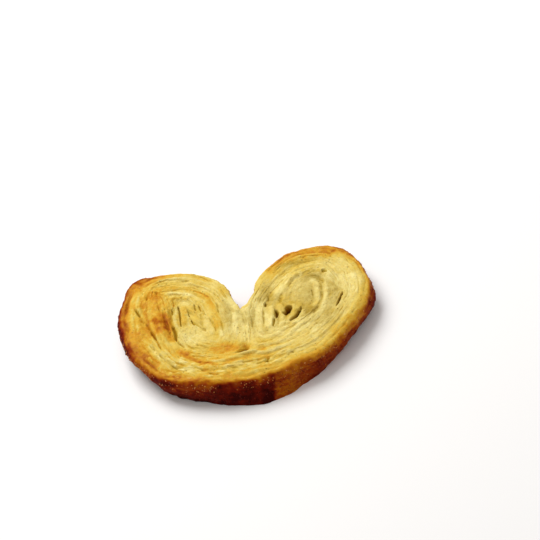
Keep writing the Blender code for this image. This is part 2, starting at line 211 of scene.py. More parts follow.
# Slits and pits: depth, width, and the points that each runs through
CUTS = (
    (2.4, 2.7, ((-3.5, -19.7), (-1.2, -19.0), (0.8, -18.7))),
    (1.6, 0.9, ((-29.7, 12.6), (-29.3, 9.8))),
    (2.0, 0.9, ((-27.2, 15.0), (-26.6, 11.6), (-26.4, 7.4), (-26.2, 2.8))),
    (2.4, 1.2, ((-23.1, 13.4), (-22.5, 10.4), (-22.4, 7.8))),
    (2.0, 1.1, ((-21.6, 5.6), (-21.0, 3.8), (-20.5, 2.2))),
    (1.5, 0.8, ((-20.1, 14.2), (-19.6, 10.6))),
    (1.8, 0.8, ((-18.2, 13.0), (-17.5, 9.8))),
    (1.5, 0.8, ((-16.6, 10.4), (-16.1, 7.4))),
    (0.7, 1.5, ((-17.6, 7.0), (-17.2, 3.0), (-17.6, -1.0))),
    (1.3, 0.8, ((-20.1, -1.0), (-20.1, -3.2))),
    (1.1, 0.8, ((-16.6, -0.8), (-15.8, -2.8))),
    (1.0, 0.9, ((-14.0, 4.0), (-12.4, 0.0), (-11.5, -4.2))),
    (1.3, 0.9, ((-10.4, 12.2), (-9.9, 7.0))),
    (0.7, 0.8, ((-9.0, 1.0), (-8.6, -4.6))),
    (2.3, 1.6, ((-29.6, 3.0), (-28.6, -1.6), (-28.4, -5.4))),
    (1.3, 1.0, ((-28.3, -5.6), (-27.0, -8.0), (-25.2, -9.9))),
    (1.2, 1.5, ((-33.6, 12.4), (-32.6, 7.0), (-31.6, 2.0), (-30.6, -2.4))),
    (0.6, 1.2, ((-24.0, -10.8), (-18.0, -13.0), (-13.0, -12.6))),
    (0.8, 1.8, ((-31.0, 13.0), (-30.4, 7.0), (-29.6, 2.0))),
    (1.2, 1.0, ((-20.0, -9.4), (-19.3, -11.0))),
    (2.5, 1.3, ((-45.4, 17.0), (-44.4, 14.4), (-43.4, 12.2))),
    (0.8, 1.6, ((-43.0, 11.0), (-41.8, 8.4))),
    (1.6, 1.1, ((-40.8, 25.6), (-40.5, 22.0))),
    (0.9, 1.3, ((-36.7, 26.2), (-35.9, 24.6))),
    (1.2, 1.2, ((-41.0, 8.0), (-39.6, 4.6), (-38.6, 1.8))),
    (2.3, 1.3, ((-38.9, 2.0), (-37.8, -0.8), (-36.6, -3.8))),
    (1.5, 0.9, ((-39.4, -6.6), (-37.4, -9.8))),
    (1.5, 0.9, ((-35.8, -6.4), (-34.4, -11.2))),
    (1.4, 0.9, ((-35.4, -13.6), (-34.2, -15.4))),
    (1.4, 0.8, ((-30.4, -20.6), (-28.0, -23.0))),
    (1.4, 0.9, ((-22.4, -22.8), (-20.0, -24.9), (-17.4, -27.0))),
    (1.5, 0.9, ((-16.0, -28.1), (-13.6, -29.9), (-11.0, -31.6))),
    (1.1, 0.8, ((-25.4, 30.2), (-21.6, 29.2))),
    (0.8, 0.7, ((-29.0, -19.0), (-25.0, -21.6))),
    (0.8, 0.7, ((-36.0, 19.0), (-34.6, 12.0))),
    (0.8, 0.7, ((-8.4, 21.0), (-5.8, 14.0))),
    (0.7, 0.7, ((-6.9, 6.8), (-6.7, 6.0))),
    (0.9, 0.7, ((-11.2, 18.4), (-10.8, 17.2))),
    (6.4, 3.0, ((19.4, 1.7), (19.4, 0.4), (18.6, -1.1))),
    (2.9, 1.7, ((14.0, 1.2), (14.4, -0.8), (14.1, -3.0))),
    (2.2, 1.1, ((13.2, -3.6), (12.8, -5.6), (12.3, -8.0))),
    (3.6, 1.5, ((24.3, 1.0), (23.8, -1.6), (22.6, -4.1), (19.8, -6.4))),
    (2.2, 1.5, ((10.1, 6.8), (9.9, 4.8))),
    (1.7, 1.0, ((11.6, 11.2), (11.4, 7.8))),
    (0.9, 0.7, ((12.7, 13.0), (12.9, 12.0))),
    (1.0, 2.4, ((17.2, 10.0), (16.2, 6.0))),
    (0.6, 1.0, ((5.3, 4.0), (5.1, -1.0))),
    (0.6, 0.9, ((4.0, -1.0), (3.8, -8.0))),
    (1.0, 0.7, ((1.8, -7.4), (2.1, -9.2))),
    (0.8, 0.8, ((9.0, 3.6), (8.6, -5.6))),
    (0.6, 0.8, ((14.7, -4.0), (14.3, -9.0))),
    (0.5, 0.8, ((18.4, -5.0), (17.0, -9.0))),
    (0.8, 1.1, ((2.7, 10.0), (2.5, 7.0))),
    (2.1, 2.2, ((35.6, 20.7), (37.2, 19.4))),
    (0.8, 1.9, ((27.0, 21.2), (30.0, 21.8), (32.6, 21.6))),
    (0.4, 1.1, ((22.6, 18.6), (21.6, 16.6), (20.6, 14.6))),
    (0.9, 1.6, ((33.8, 13.0), (34.0, 9.0), (33.3, 3.4), (31.4, -1.4))),
    (0.7, 0.7, ((30.0, 10.6), (30.2, 6.4))),
    (1.0, 1.3, ((26.0, 6.2), (25.4, 2.6))),
    (0.5, 1.1, ((21.8, 15.0), (20.6, 13.6))),
    (1.0, 1.2, ((31.2, -1.6), (29.6, -4.2))),
    (2.9, 1.1, ((42.5, 4.8), (41.0, 1.4), (39.5, -2.2))),
    (1.4, 0.9, ((30.1, -10.4), (30.3, -12.0))),
    (1.0, 0.7, ((27.8, -13.2), (27.6, -14.0))),
    (1.0, 0.8, ((28.7, -16.4), (28.5, -17.2))),
    (0.9, 0.7, ((26.6, -15.8), (26.4, -16.6))),
    (2.4, 1.6, ((9.1, -26.4), (8.2, -28.2))),
    (1.3, 0.9, ((19.0, -25.2), (19.2, -26.0))),
    (0.9, 0.7, ((16.8, -26.2), (17.3, -26.9))),
    (0.7, 0.9, ((4.8, -16.0), (8.0, -16.6), (13.8, -14.4))),
    (0.8, 0.7, ((46.2, 26.4), (47.2, 22.6))),
    (0.7, 0.6, ((44.8, 18.0), (45.0, 10.0))),
    (0.8, 0.7, ((14.6, 24.8), (18.0, 28.2))),
)

# Spots of the upper face that are browner or paler: x, y, reach along x, reach along y, how much
TOASTED_PLACES = (
    (-33.4, 4.4, 3.8, 9.6, 0.14),
    (-30.6, 8.4, 1.8, 5.0, 0.12),
    (-40.0, -2.0, 5.5, 10.0, 0.07),
    (-36.8, 23.6, 4.6, 6.4, 0.14),
    (-43.6, 35.4, 3.4, 2.6, 0.15),
    (-29.0, 35.0, 5.0, 2.4, 0.15),
    (-30.6, 17.0, 4.6, 3.0, 0.12),
    (-8.8, -14.8, 6.8, 3.4, 0.25),
    (-1.6, -17.0, 3.8, 3.0, 0.17),
    (-26.0, -15.6, 5.0, 3.8, 0.17),
    (-33.6, -14.0, 5.4, 6.4, 0.06),
    (-21.0, -20.0, 5.0, 3.0, 0.07),
    (-14.0, -23.6, 11.0, 6.0, 0.15),
    (-29.0, -25.0, 6.0, 5.0, 0.12),
    (-14.0, -31.0, 10.0, 3.0, 0.10),
    (-24.0, 19.0, 6.0, 4.0, -0.08),
    (-12.0, 24.0, 4.0, 3.0, -0.08),
    (-20.4, -3.4, 6.0, 6.0, -0.13),
    (-5.0, 13.4, 3.0, 4.0, -0.12),
    (-3.0, 2.0, 5.0, 11.0, -0.21),
    (-31.2, -7.2, 1.0, 1.2, -0.12),
    (-1.6, -26.0, 2.6, 1.1, -0.10),
    (5.0, 1.0, 5.0, 9.0, -0.18),
    (13.6, -12.2, 5.4, 3.4, -0.11),
    (19.8, -0.6, 5.4, 6.4, 0.14),
    (16.6, 8.0, 1.8, 3.0, 0.05),
    (30.6, 11.6, 7.0, 8.6, -0.06),
    (46.6, 12.4, 6.0, 11.6, -0.13),
    (27.0, -13.0, 7.0, 6.0, -0.08),
    (37.0, -15.0, 3.4, 4.4, 0.10),
    (5.0, -16.6, 6.0, 4.0, 0.14),
    (9.0, -19.8, 7.0, 2.8, 0.13),
    (8.4, -25.6, 9.0, 3.0, 0.14),
    (20.0, -23.0, 7.0, 3.0, 0.07),
    (6.6, -30.6, 9.0, 3.0, 0.19),
    (24.0, 24.0, 7.0, 2.8, 0.09),
    (13.0, 25.0, 3.4, 5.5, 0.10),
    (23.0, 32.6, 11.0, 3.8, 0.16),
    (38.6, 32.0, 8.6, 4.0, 0.22),
    (51.0, 23.4, 3.4, 6.0, 0.11),
    (50.4, -1.0, 2.6, 5.0, 0.10),
)

# Pale dough that lies low between the strands, painted darker and greyer: partly painted shade, partly its
# rawer colour: x, y, reach along x, reach along y, share
DULL_SHADE_PLACES = (
    (5.2, -1.0, 5.6, 10.6, 0.70),
    (-5.4, 4.0, 4.6, 12.0, 0.72),
    (-1.0, -16.4, 2.4, 3.0, 0.60),
    (19.0, -2.6, 8.8, 6.6, 0.76),
    (28.0, -2.6, 4.4, 2.6, 0.56),
    (14.0, 9.0, 6.0, 5.0, 0.46),
    (10.4, 16.4, 3.6, 7.0, 0.54),
    (29.0, 8.0, 8.0, 9.0, 0.62),
    (31.0, 18.4, 5.4, 3.4, 0.60),
    (24.0, 28.4, 12.0, 2.5, 0.66),
    (38.6, 7.0, 7.0, 14.0, 0.48),
    (36.0, -8.0, 4.0, 6.0, 0.34),
    (31.0, -11.0, 7.0, 4.0, 0.34),
    (13.0, -12.0, 8.0, 3.0, 0.24),
    (2.0, -31.0, 22.0, 2.4, 0.24),
    (-17.5, 1.0, 3.4, 4.0, 0.30),
    (-24.4, -3.6, 4.0, 5.6, 0.34),
    (-30.2, 9.2, 2.6, 7.4, 0.54),
    (-40.0, 8.0, 5.0, 15.0, 0.26),
    (-28.0, -26.0, 6.0, 4.0, 0.30),
    (-38.0, -16.0, 3.0, 6.0, 0.22),
)

# Where thin plates of dough have lifted and split: x, y, reach along x, reach along y, share
FLAKY_PLACES = (
    (-27.0, -23.0, 11.0, 7.0, 1.0),
    (-38.0, -11.0, 5.0, 7.0, 0.9),
    (-12.0, -30.0, 10.0, 3.4, 0.8),
    (3.0, -28.4, 12.0, 5.0, 0.7),
    (19.0, -25.0, 8.0, 4.0, 0.6),
    (-42.0, 14.0, 6.0, 13.0, 0.6),
    (-28.0, 27.0, 12.0, 7.0, 0.5),
    (-20.0, 9.0, 6.0, 8.0, 0.7),
    (-20.0, -17.0, 9.0, 4.0, 0.5),
    (30.0, -12.0, 8.0, 7.0, 0.5),
    (44.0, 12.0, 6.0, 16.0, 0.3),
    (26.0, 30.0, 14.0, 4.0, 0.3),
)


def smoothstep(low, high, value):
    """Goes smoothly from 0 at low to 1 at high, whichever of the two is greater."""
    t = np.clip((value - low) / (high - low), 0.0, 1.0)
    return t * t * (3.0 - 2.0 * t)


def soft_noise(x, y, seed):
    """Smooth noise between -1 and 1, with one cell to each unit of x and y."""
    lattice = np.random.default_rng(seed).uniform(-1.0, 1.0, (64, 64))
    x0 = np.floor(x).astype(int)
    y0 = np.floor(y).astype(int)
    fx = smoothstep(0.0, 1.0, x - x0)
    fy = smoothstep(0.0, 1.0, y - y0)
    low = lattice[x0 % 64, y0 % 64] * (1.0 - fx) + lattice[(x0 + 1) % 64, y0 % 64] * fx
    high = lattice[x0 % 64, (y0 + 1) % 64] * (1.0 - fx) + lattice[(x0 + 1) % 64, (y0 + 1) % 64] * fx
    return low * (1.0 - fy) + high * fy


def blot(x, y, place):
    """A soft spot of strength 1 at the middle of a place: x, y, reach along x, reach along y."""
    return np.exp(-((x - place[0]) / place[2]) ** 2 - ((y - place[1]) / place[3]) ** 2)


def spread(x, y, places):
    """Soft spots added up, each with its strength after its reaches."""
    return sum(place[4] * blot(x, y, place) for place in places)


def fall_off(distance, reach, power=2):
    """Falls from 1 on a line to nothing beyond its reach."""
    return np.exp(-(distance / reach) ** power)


def spline(points, count):
    """A smooth curve through the points, read at count + 1 places evenly along it."""
    points = np.asarray(points, float)
    knots = np.concatenate([[0.0], np.cumsum(np.linalg.norm(np.diff(points[:, :2], axis=0), axis=1))])
    gaps = np.diff(knots)
    size = len(points)
    matrix = np.eye(size)
    right = np.zeros_like(points)
    for i in range(1, size - 1):
        matrix[i, i - 1:i + 2] = (gaps[i - 1], 2.0 * (gaps[i - 1] + gaps[i]), gaps[i])
        right[i] = 6.0 * ((points[i + 1] - points[i]) / gaps[i] - (points[i] - points[i - 1]) / gaps[i - 1])
    bends = np.linalg.solve(matrix, right)
    place = np.linspace(0.0, knots[-1], CURVE_DETAIL)
    i = np.clip(np.searchsorted(knots, place, side="right") - 1, 0, size - 2)
    a = ((knots[i + 1] - place) / gaps[i])[:, None]
    b = 1.0 - a
    curve = ((a ** 3 - a) * bends[i] + (b ** 3 - b) * bends[i + 1]) * (gaps[i] ** 2)[:, None] / 6.0
    fine = a * points[i] + b * points[i + 1] + curve
    travelled = np.concatenate([[0.0], np.cumsum(np.linalg.norm(np.diff(fine[:, :2], axis=0), axis=1))])
    wanted = np.linspace(0.0, travelled[-1], count + 1)
    return np.column_stack([np.interp(wanted, travelled, fine[:, k]) for k in range(fine.shape[1])])


def relax(values, passes):
    """Smooths a run of points and keeps both its ends."""
    values = values.copy()
    for _ in range(passes):
        values[1:-1] = 0.25 * values[:-2] + 0.5 * values[1:-1] + 0.25 * values[2:]
    return values


def turn_share(depth):
    """How far from the outer fold to the core a layer line has come after so many turns."""
    return SPINE_SHARE * np.clip((depth - 1.0) / (TURNS - 1.0), 0.0, 1.0)


def row_places(layers):
    """Places across one fold, with layers of uneven width."""
    random = np.random.default_rng(5)
    widths = np.repeat(1.0 + 0.28 * random.uniform(-1.0, 1.0, layers), 2)
    widths *= np.tile((1.1, 0.9), layers)
    halves = np.concatenate([[0.0], np.cumsum(widths)]) / widths.sum()
    rows = np.arange(layers * ROWS_IN_LAYER + 1) / ROWS_IN_LAYER
    return np.interp(rows, np.arange(2 * layers + 1) / 2, halves)


class Lobe:
    """One lobe: a sheet that winds round the edge, down the seam and on into the core."""

    def __init__(self, edge, core, side, rows):
        around = spline(edge, STEPS_TO_NOTCH)
        down = spline(SEAM, STEPS_ROUND - STEPS_TO_NOTCH)
        self.side = side
        self.share = np.linspace(0.0, 1.0, STEPS_ROUND + 1)
        self.edge = np.vstack([around[:, :2], down[1:]])
        fold = np.concatenate([around[:, 2], np.full(len(down) - 1, SEAM_FOLD)])
        along = relax(np.gradient(self.edge, axis=0), passes=40)
        along /= np.linalg.norm(along, axis=1)[:, None]
        self.inward = np.column_stack([along[:, 1], -along[:, 0]]) * -side
        bottom = np.array(core[0])
        top = np.array(core[1])
        start = self.edge[-1]
        end = start + (bottom - start) * turn_share(2.0)
        inner = relax(self.edge + self.inward * fold[:, None], passes=100)
        inner += (start - inner[0]) * (1.0 - smoothstep(0.0, 0.10, self.share))[:, None]
        inner += (end - inner[-1]) * smoothstep(0.86, 1.0, self.share)[:, None]
        self.inner = inner
        self.rounder = relax(inner, passes=600)
        farthest = self.share[np.argmax((inner - bottom) @ (top - bottom))]
        swing = np.interp(self.share, (0.0, farthest, 1.0), (0.0, 0.5, 1.0))
        reach = 0.5 - 0.5 * np.cos(2.0 * math.pi * swing)
        self.core = bottom + reach[:, None] * (top - bottom)
        self.fold = np.linalg.norm(self.inner - self.edge, axis=1)
        self.wind(rows)

    def wind(self, rows):
        """Lays the sheet out by step along the spiral and by row, and rounds off its turns."""
        steps = math.ceil(TURNS) * STEPS_ROUND
        step = np.arange(steps + 1) % STEPS_ROUND
        self.turn = np.arange(steps + 1) // STEPS_ROUND
        self.step = step
        travelled = np.arange(steps + 1)[:, None] / STEPS_ROUND
        depth = travelled + rows[None, :]
        share = self.share[step][:, None]
        held = np.minimum(depth, TURNS)
        edge, inner = self.edge[step][:, None], self.inner[step][:, None]
        rounder, core = self.rounder[step][:, None], self.core[step][:, None]
        outside = edge + (inner - edge) * (held - share)[..., None]
        passed = (1.0 - (1.0 - turn_share(held)) / (1.0 - turn_share(1.0 + share)))[..., None]
        outer = inner + (rounder - inner) * smoothstep(0.0, 0.5, passed)
        inside = outer + (core - outer) * passed
        points = np.where((held <= 1.0 + share)[..., None], outside, inside)
        pull = smoothstep(0.0, 0.35, rows[None, :] + self.turn[:, None])
        pull = (pull * (1.0 - smoothstep(TURNS - 0.5, TURNS, depth)))[..., None]
        pull[0] = 0.0
        pull[-1] = 0.0
        pull[STEPS_ROUND, 0] = 0.0
        for _ in range(ROUNDING_PASSES):
            mean = 0.5 * (np.roll(points, 1, axis=0) + np.roll(points, -1, axis=0))
            points += 0.5 * pull * (mean - points)
            points[:-STEPS_ROUND, -1] = points[STEPS_ROUND:, 0]
        self.points = points
        self.travelled = np.broadcast_to(travelled, depth.shape)
        self.depth = depth
        self.across = np.clip(depth - travelled, 0.0, 1.0)
        self.from_edge = self.across * self.fold[step][:, None] + FAR_INSIDE * self.turn[:, None]
        self.on_rim = ((step <= STEPS_TO_NOTCH) & (self.turn == 0))[:, None]


def waver(points):
    """Lets the lines wander a little, as rolled dough does."""
    x, y = points[..., 0], points[..., 1]
    shift = np.stack([soft_noise(x / 7.0, y / 9.0, 21), soft_noise(x / 9.0, y / 7.0, 22)], axis=-1)
    fine = np.stack([soft_noise(x / 2.3, y / 2.9, 23), soft_noise(x / 2.9, y / 2.3, 24)], axis=-1)
    return points + 0.5 * shift + 0.16 * fine


def wall_shift(x, y, level):
    """How far the wall stands inside the upper edge, at a level from 0 at the foot to 1."""
    left = blot(x, y, (-45.0, -13.5, 13.0, 13.0))
    front = blot(x, y, (6.0, -35.0, 20.0, 14.0))
    inset = 2.6 + 1.6 * smoothstep(30.0, 50.0, x) + 3.6 * left - 5.8 * front
    lean = np.clip(1.0 - level / (0.8 + 0.25 * left), 0.0, 1.0) ** (1.6 - 0.4 * left - 0.5 * front)
    bulge = 1.5 * blot(x, y, (55.0, 4.5, 5.0, 6.0)) * math.sin(math.pi * level)
    return inset * lean - bulge


def near_curve(x, y, points, reach):
    """The places within reach of a curve, with their distance from it and their share of the way along it."""
    points = np.asarray(points, float)
    low, high = points.min(axis=0) - reach, points.max(axis=0) + reach
    near = np.nonzero((x > low[0]) & (x < high[0]) & (y > low[1]) & (y < high[1]))
    curve = spline(points, 6 * len(points))
    here = np.stack([x[near], y[near]], axis=-1)
    off = np.full(len(here), 1e3)
    share = np.zeros(len(here))
    for k in range(len(curve) - 1):
        step = curve[k + 1] - curve[k]
        along = np.clip((here - curve[k]) @ step / (step @ step), 0.0, 1.0)
        distance = np.linalg.norm(here - curve[k] - along[:, None] * step, axis=1)
        closer = distance < off
        off[closer] = distance[closer]
        share[closer] = ((k + along) / (len(curve) - 1))[closer]
    return near, off, share


def layer_rise(travelled, place, seed):
    """Unevenness of each layer along the spiral, joined smoothly to its neighbours at the grooves."""
    layer = np.floor(place)
    across = place - layer
    here = soft_noise(travelled * 11.0, layer, seed)
    before = soft_noise(travelled * 11.0, layer - 1.0, seed)
    after = soft_noise(travelled * 11.0, layer + 1.0, seed)
    here = here + 0.5 * (before - here) * (1.0 - smoothstep(0.0, 0.22, across))
    return here + 0.5 * (after - here) * smoothstep(0.78, 1.0, across)


def crumpling(x, y):
    """How far strands of crumpled dough take the place of even layers, from 0 to 1."""
    crumpled = np.zeros_like(x)
    for place in CRUMPLED_PLACES:
        off = np.hypot((x - place[0]) / place[2], (y - place[1]) / place[3])
        crumpled = np.maximum(crumpled, smoothstep(1.25, 0.75, off))
    return crumpled


def lay_strands(x, y, z, toast, recess, dull):
    """Adds the raised strands to the face's values; raised ones lessen the painted groove shade on them, and
    plain ones also clear the painted shade of the low dough under them.
    """
    for height, brown, width, points in STRANDS:
        near, off, share = near_curve(x, y, points, 0.8 * width)
        ends = smoothstep(0.0, 0.14, share) * smoothstep(1.0, 0.86, share)
        fall = np.clip(1.0 - (off / (0.75 * width)) ** 2, 0.0, 1.0) ** 1.3 * ends
        z[near] += height * fall
        toast[near] += brown * fall
        if height > 0.0:
            recess[near] *= 1.0 - (0.9 if height > BOLD_STRAND else 0.6) * fall
        if height > PLAIN_STRAND:
            dull[near] *= 1.0 - min(0.9, 0.5 + 0.6 * height) * fall


def carve_cuts(x, y, z, toast, recess):
    """Adds the slits and pits to the face's values: ragged, tapered, and broken where they are faint, with
    painted shade inside them.
    """
    for drop, width, points in CUTS:
        near, off, share = near_curve(x, y, points, 1.4 * width)
        ragged = 1.0 + 0.3 * soft_noise(x[near] / 1.2, y[near] / 1.2, 48)
        taper = 0.45 + 0.55 * np.sin(math.pi * share) ** 0.5
        steepness = 3.0
        if drop > HOLE:
            taper = 1.0
            steepness = 6.0
        cut = fall_off(2.2 * off, width * ragged * taper, steepness)
        if drop < PLAIN_CUT:
            cut *= 0.5 + 0.5 * smoothstep(-0.5, 0.15, soft_noise(x[near] / 1.1, y[near] / 1.1, 59))
        z[near] -= (0.5 if drop < DEEP_CUT else 0.8) * drop * cut
        # Holes are painted browner, partly as painted shade inside them, and each cut's recess is painted
        # shade
        if drop > HOLE:
            toast[near] += 0.40 * cut
        recess[near] = np.maximum(recess[near], min(1.0, 0.30 + 0.20 * drop) * cut ** 0.8)


def round_rim(lobe, x, z, recess, dull, shape):
    """Rounds the face down to the wall, sinks the seam with painted shade along it, and keeps the painted
    groove shade and the painted shade of low dough off the rim.
    """
    front = smoothstep(-0.3, 0.3, -lobe.inward[lobe.step, 1])[:, None]
    right = smoothstep(36.0, 48.0, x)
    drop = shape.rim_drop * (1.0 - 0.5 * front) + 0.9 * right
    reach = shape.rim_reach + 1.4 * right
    rim = 1.0 - np.sqrt(np.clip(1.0 - np.clip(1.0 - lobe.from_edge / reach, 0.0, 1.0) ** 2, 0.0, 1.0))
    z = z - np.where(lobe.on_rim, drop * rim, 0.8 * fall_off(lobe.from_edge, 0.9))
    # Painted shade along the seam and the core's edges, and less of it in the grooves near the rim
    recess = recess + np.where(lobe.on_rim, 0.0, 0.25 * fall_off(lobe.from_edge, 0.8))
    recess = recess * np.where(lobe.on_rim, smoothstep(0.3, 2.2, lobe.from_edge), 1.0)
    dull = dull * np.where(lobe.on_rim, smoothstep(1.0, 4.0, lobe.from_edge), 1.0)
    return z, recess, dull


def relief(lobe, xy, shape):
    """Height, browning, recess and low-dough shade of the upper face, by step and row; the recess is painted
    shade in grooves, splits and slits, and the low-dough shade is painted shade on dough that lies low.
    """
    x, y = xy[..., 0], xy[..., 1]
    place = np.broadcast_to(np.arange(xy.shape[1]) / ROWS_IN_LAYER, x.shape)
    travelled = lobe.travelled
    crumpled = crumpling(x, y)
    core = 1.0 - smoothstep(TURNS - 0.7, TURNS - 0.15, lobe.depth)
    calm = (1.0 - 0.85 * crumpled) * (1.0 - 0.35 * smoothstep(2.0, 14.0, x)) * core

    inner_rows = smoothstep(0.0, 0.6, place) * smoothstep(0.0, 0.6, shape.layers - place)
    wander = 0.20 * soft_noise(travelled * 34.0, place * 1.3, 41)
    wander = wander + 0.09 * soft_noise(travelled * 90.0, place * 2.1, 42)
    shifted = place + wander * inner_rows
    softness = 0.75 + 0.35 * soft_noise(travelled * 15.0, place * 0.9, 40)
    single = np.abs(np.sin(math.pi * shifted)) ** softness
    paired = np.abs(np.sin(math.pi * shifted / 2.0)) ** softness
    crest = single + (paired - single) * smoothstep(1.2, 1.8, lobe.depth) * 0.75
    groove = np.round(shifted)
    gain = 0.10 + smoothstep(-0.35, 0.75, soft_noise(travelled * 21.0, groove, 49))
    ridge = 0.3 - shape.ridge_depth * gain * (1.0 - crest)
    uneven = shape.layer_uneven * layer_rise(travelled, place, 12)
    z = FACE_LEVEL + (ridge + (uneven + 0.5) * np.sin(math.pi * lobe.across)) * calm
    z = z + 0.4 * soft_noise(x / 11.0, y / 11.0, 13) + spread(x, y, SWELLS)

    leaf = np.abs(np.sin(math.pi * (shifted * 3.0 + 0.7 * soft_noise(travelled * 40.0, place * 3.0, 43))))
    leafy = smoothstep(-0.6, 0.8, soft_noise(travelled * 26.0, place * 2.2, 44))
    z = z + shape.leaf_depth * (leaf ** 0.8 - 0.7) * (leafy * (1.0 - 0.7 * crumpled) * core)
    z = z + 0.14 * soft_noise(x / 1.2, y / 1.2, 45) + 0.18 * soft_noise(x / 2.6, y / 2.6, 46)
    flaky = np.clip(spread(x, y, FLAKY_PLACES), 0.15, 1.0)
    plate = 0.7 * soft_noise(travelled * 74.0, place * 2.7, 63) * core + 0.5 * soft_noise(x, y, 64)
    z = z + 0.34 * flaky * (smoothstep(-0.12, 0.16, plate) - 0.5)

    toast = face_toasting(lobe, x, y, place, core)
    # Crests and raised flake plates are painted paler, a painted highlight, and groove bottoms browner, a
    # painted shade; the recess below is painted shade in the grooves and under lifted flakes
    toast = toast - 0.13 * (crest - 0.72) * calm * gain - 0.18 * flaky * smoothstep(0.10, 0.40, plate)
    recess = 0.24 * gain * np.clip(1.0 - crest, 0.0, 1.0) ** 1.4 * calm
    recess = recess + 0.42 * flaky * smoothstep(-0.22, -0.50, plate)
    dull = spread(x, y, DULL_SHADE_PLACES)
    split = fall_off(shifted - groove, 0.15) * inner_rows * calm
    split = split * smoothstep(0.35, 0.8, soft_noise(travelled * 38.0, groove, 47))
    z = z - shape.split_depth * split
    # Splits between layers get painted shade as well
    recess = recess + 0.25 * split

    lay_strands(x, y, z, toast, recess, dull)
    carve_cuts(x, y, z, toast, recess)
    toast = np.minimum(toast, 0.46 + 0.6 * (toast - 0.46)) + rim_toasting(lobe, x, y)
    z, recess, dull = round_rim(lobe, x, z, recess, dull, shape)
    return z, np.clip(toast, 0.0, 1.0), np.clip(recess, 0.0, 1.0), np.clip(dull, 0.0, 1.0)


def face_toasting(lobe, x, y, place, core):
    """How brown the upper face is before its ridges, strands and rim are counted, by step and row."""
    toast = 0.17 + 0.06 * smoothstep(4.0, -8.0, x) + 0.10 * smoothstep(-26.0, -44.0, x)
    toast = toast + 0.05 * soft_noise(x / 6.0, y / 6.0, 51)
    toast = toast + 0.05 * core * layer_rise(lobe.travelled, place, 55)
    toast = toast + 0.04 * core * soft_noise(lobe.travelled * 60.0, place * 2.6, 56)
    blotchy = 1.0 + 0.4 * soft_noise(x / 1.8, y / 1.8, 53)
    for spot in TOASTED_PLACES:
        toast = toast + spot[4] * blot(x, y, spot) * blotchy
    return toast


def rim_toasting(lobe, x, y):
    """How much browner the rim is: a band that fades inward, and thin lines along the edge."""
    left = smoothstep(-30.0, -46.0, x)
    high = smoothstep(-16.0, 2.0, y)
    low_left = blot(x, y, LOW_LEFT)
    far_right = blot(x, y, (28.0, 38.0, 18.0, 10.0))
    front_right = blot(x, y, (27.0, -30.0, 14.0, 9.0))
    front_left = blot(x, y, (-29.0, -31.0, 13.0, 9.0))
    bare = smoothstep(-38.0, -26.0, x) * smoothstep(14.0, 8.0, x) * smoothstep(4.0, 10.0, y)
    reach = 2.0 + 2.8 * left + 2.6 * far_right + 1.3 * front_right + 2.2 * front_left + 1.2 * low_left
    strength = 0.42 - left * (0.09 + 0.06 * high) - 0.12 * far_right - 0.04 * front_left
    ragged = np.clip(lobe.from_edge + 0.6 * soft_noise(x / 1.5, y / 1.5, 54), 0.0, None)
    band = strength * (1.0 - 0.95 * bare) * fall_off(ragged, reach, 1.2)
    middle = smoothstep(-18.0, -8.0, x) * smoothstep(12.0, 9.6, x) * smoothstep(8.0, -6.0, y)
    flank = smoothstep(9.6, 12.0, x) * smoothstep(10.0, -4.0, y)
    far_left = smoothstep(-44.0, -48.0, x) * smoothstep(-16.0, -8.0, y) * smoothstep(17.0, 9.0, y)
    lines = (
        (0.22 * middle + 0.24 * low_left, 1.0, 2),
        (0.06 * flank, 0.8, 2),
        (0.14 * left * smoothstep(-16.0, -4.0, y), 1.5, 2),
        (0.12 * far_left, 3.8, 4),
        (0.14 * blot(x, y, (-53.0, 5.0, 6.0, 11.0)), 2.2, 2),
        (0.20 * blot(x, y, RIGHT_BUMP), 1.4, 2),
    )
    line = sum(amount * fall_off(lobe.from_edge, width, power) for amount, width, power in lines)
    return np.where(lobe.on_rim, band + line, 0.0)


def nibble_edge(lobe):
    """The lobe's lines with a lumpy outer edge, as a sugared crust has."""
    x, y = lobe.points[..., 0], lobe.points[..., 1]
    lump = 0.22 * soft_noise(x / 1.7, y / 1.7, 57) + 0.25 * soft_noise(x / 3.9, y / 3.9, 58)
    shift = np.where(lobe.on_rim, (lump + 0.1) * fall_off(lobe.from_edge, 1.3), 0.0)
    return lobe.points + lobe.inward[lobe.step][:, None] * shift[..., None]


class MeshStore:
    """Collects vertices and faces with the values that go with them."""

    def __init__(self):
        self.vertices = []
        self.faces = []
        self.toast = []
        self.recess = []
        self.dull = []
        self.corners = []

    def add(self, x, y, z, toast, recess, dull=0.0):
        """Adds a vertex, given in millimetres, and returns its number."""
        self.vertices.append(((x - ORIGIN_X) * MM, (y - ORIGIN_Y) * MM, z * MM))
        self.toast.append(toast)
        self.recess.append(recess)
        self.dull.append(dull)
        return len(self.vertices) - 1

    def face(self, ring, corners, flip):
        """Adds a face without its repeated vertices, or none where fewer than three are left."""
        kept = [k for k in range(len(ring)) if ring[k] != ring[k - 1]]
        if len(kept) < 3:
            return
        if flip:
            kept.reverse()
        self.faces.append([ring[k] for k in kept])
        self.corners.extend(corners[k] for k in kept)

    def build(self, name):
        """Makes the mesh with its values by vertex and its place in the streaks by corner."""
        mesh = bpy.data.meshes.new(name)
        mesh.from_pydata(self.vertices, [], self.faces)
        for label, values in (("toast", self.toast), ("recess", self.recess), ("dull", self.dull)):
            layer = mesh.attributes.new(label, "FLOAT", "POINT")
            layer.data.foreach_set("value", np.array(values, dtype=np.float32))
        corners = np.array(self.corners, dtype=np.float32)
        for k, label in enumerate(("travel", "lamina")):
            layer = mesh.attributes.new(label, "FLOAT", "CORNER")
            layer.data.foreach_set("value", np.ascontiguousarray(corners[:, k]))
        mesh.shade_smooth()
        mesh.validate()
        return mesh


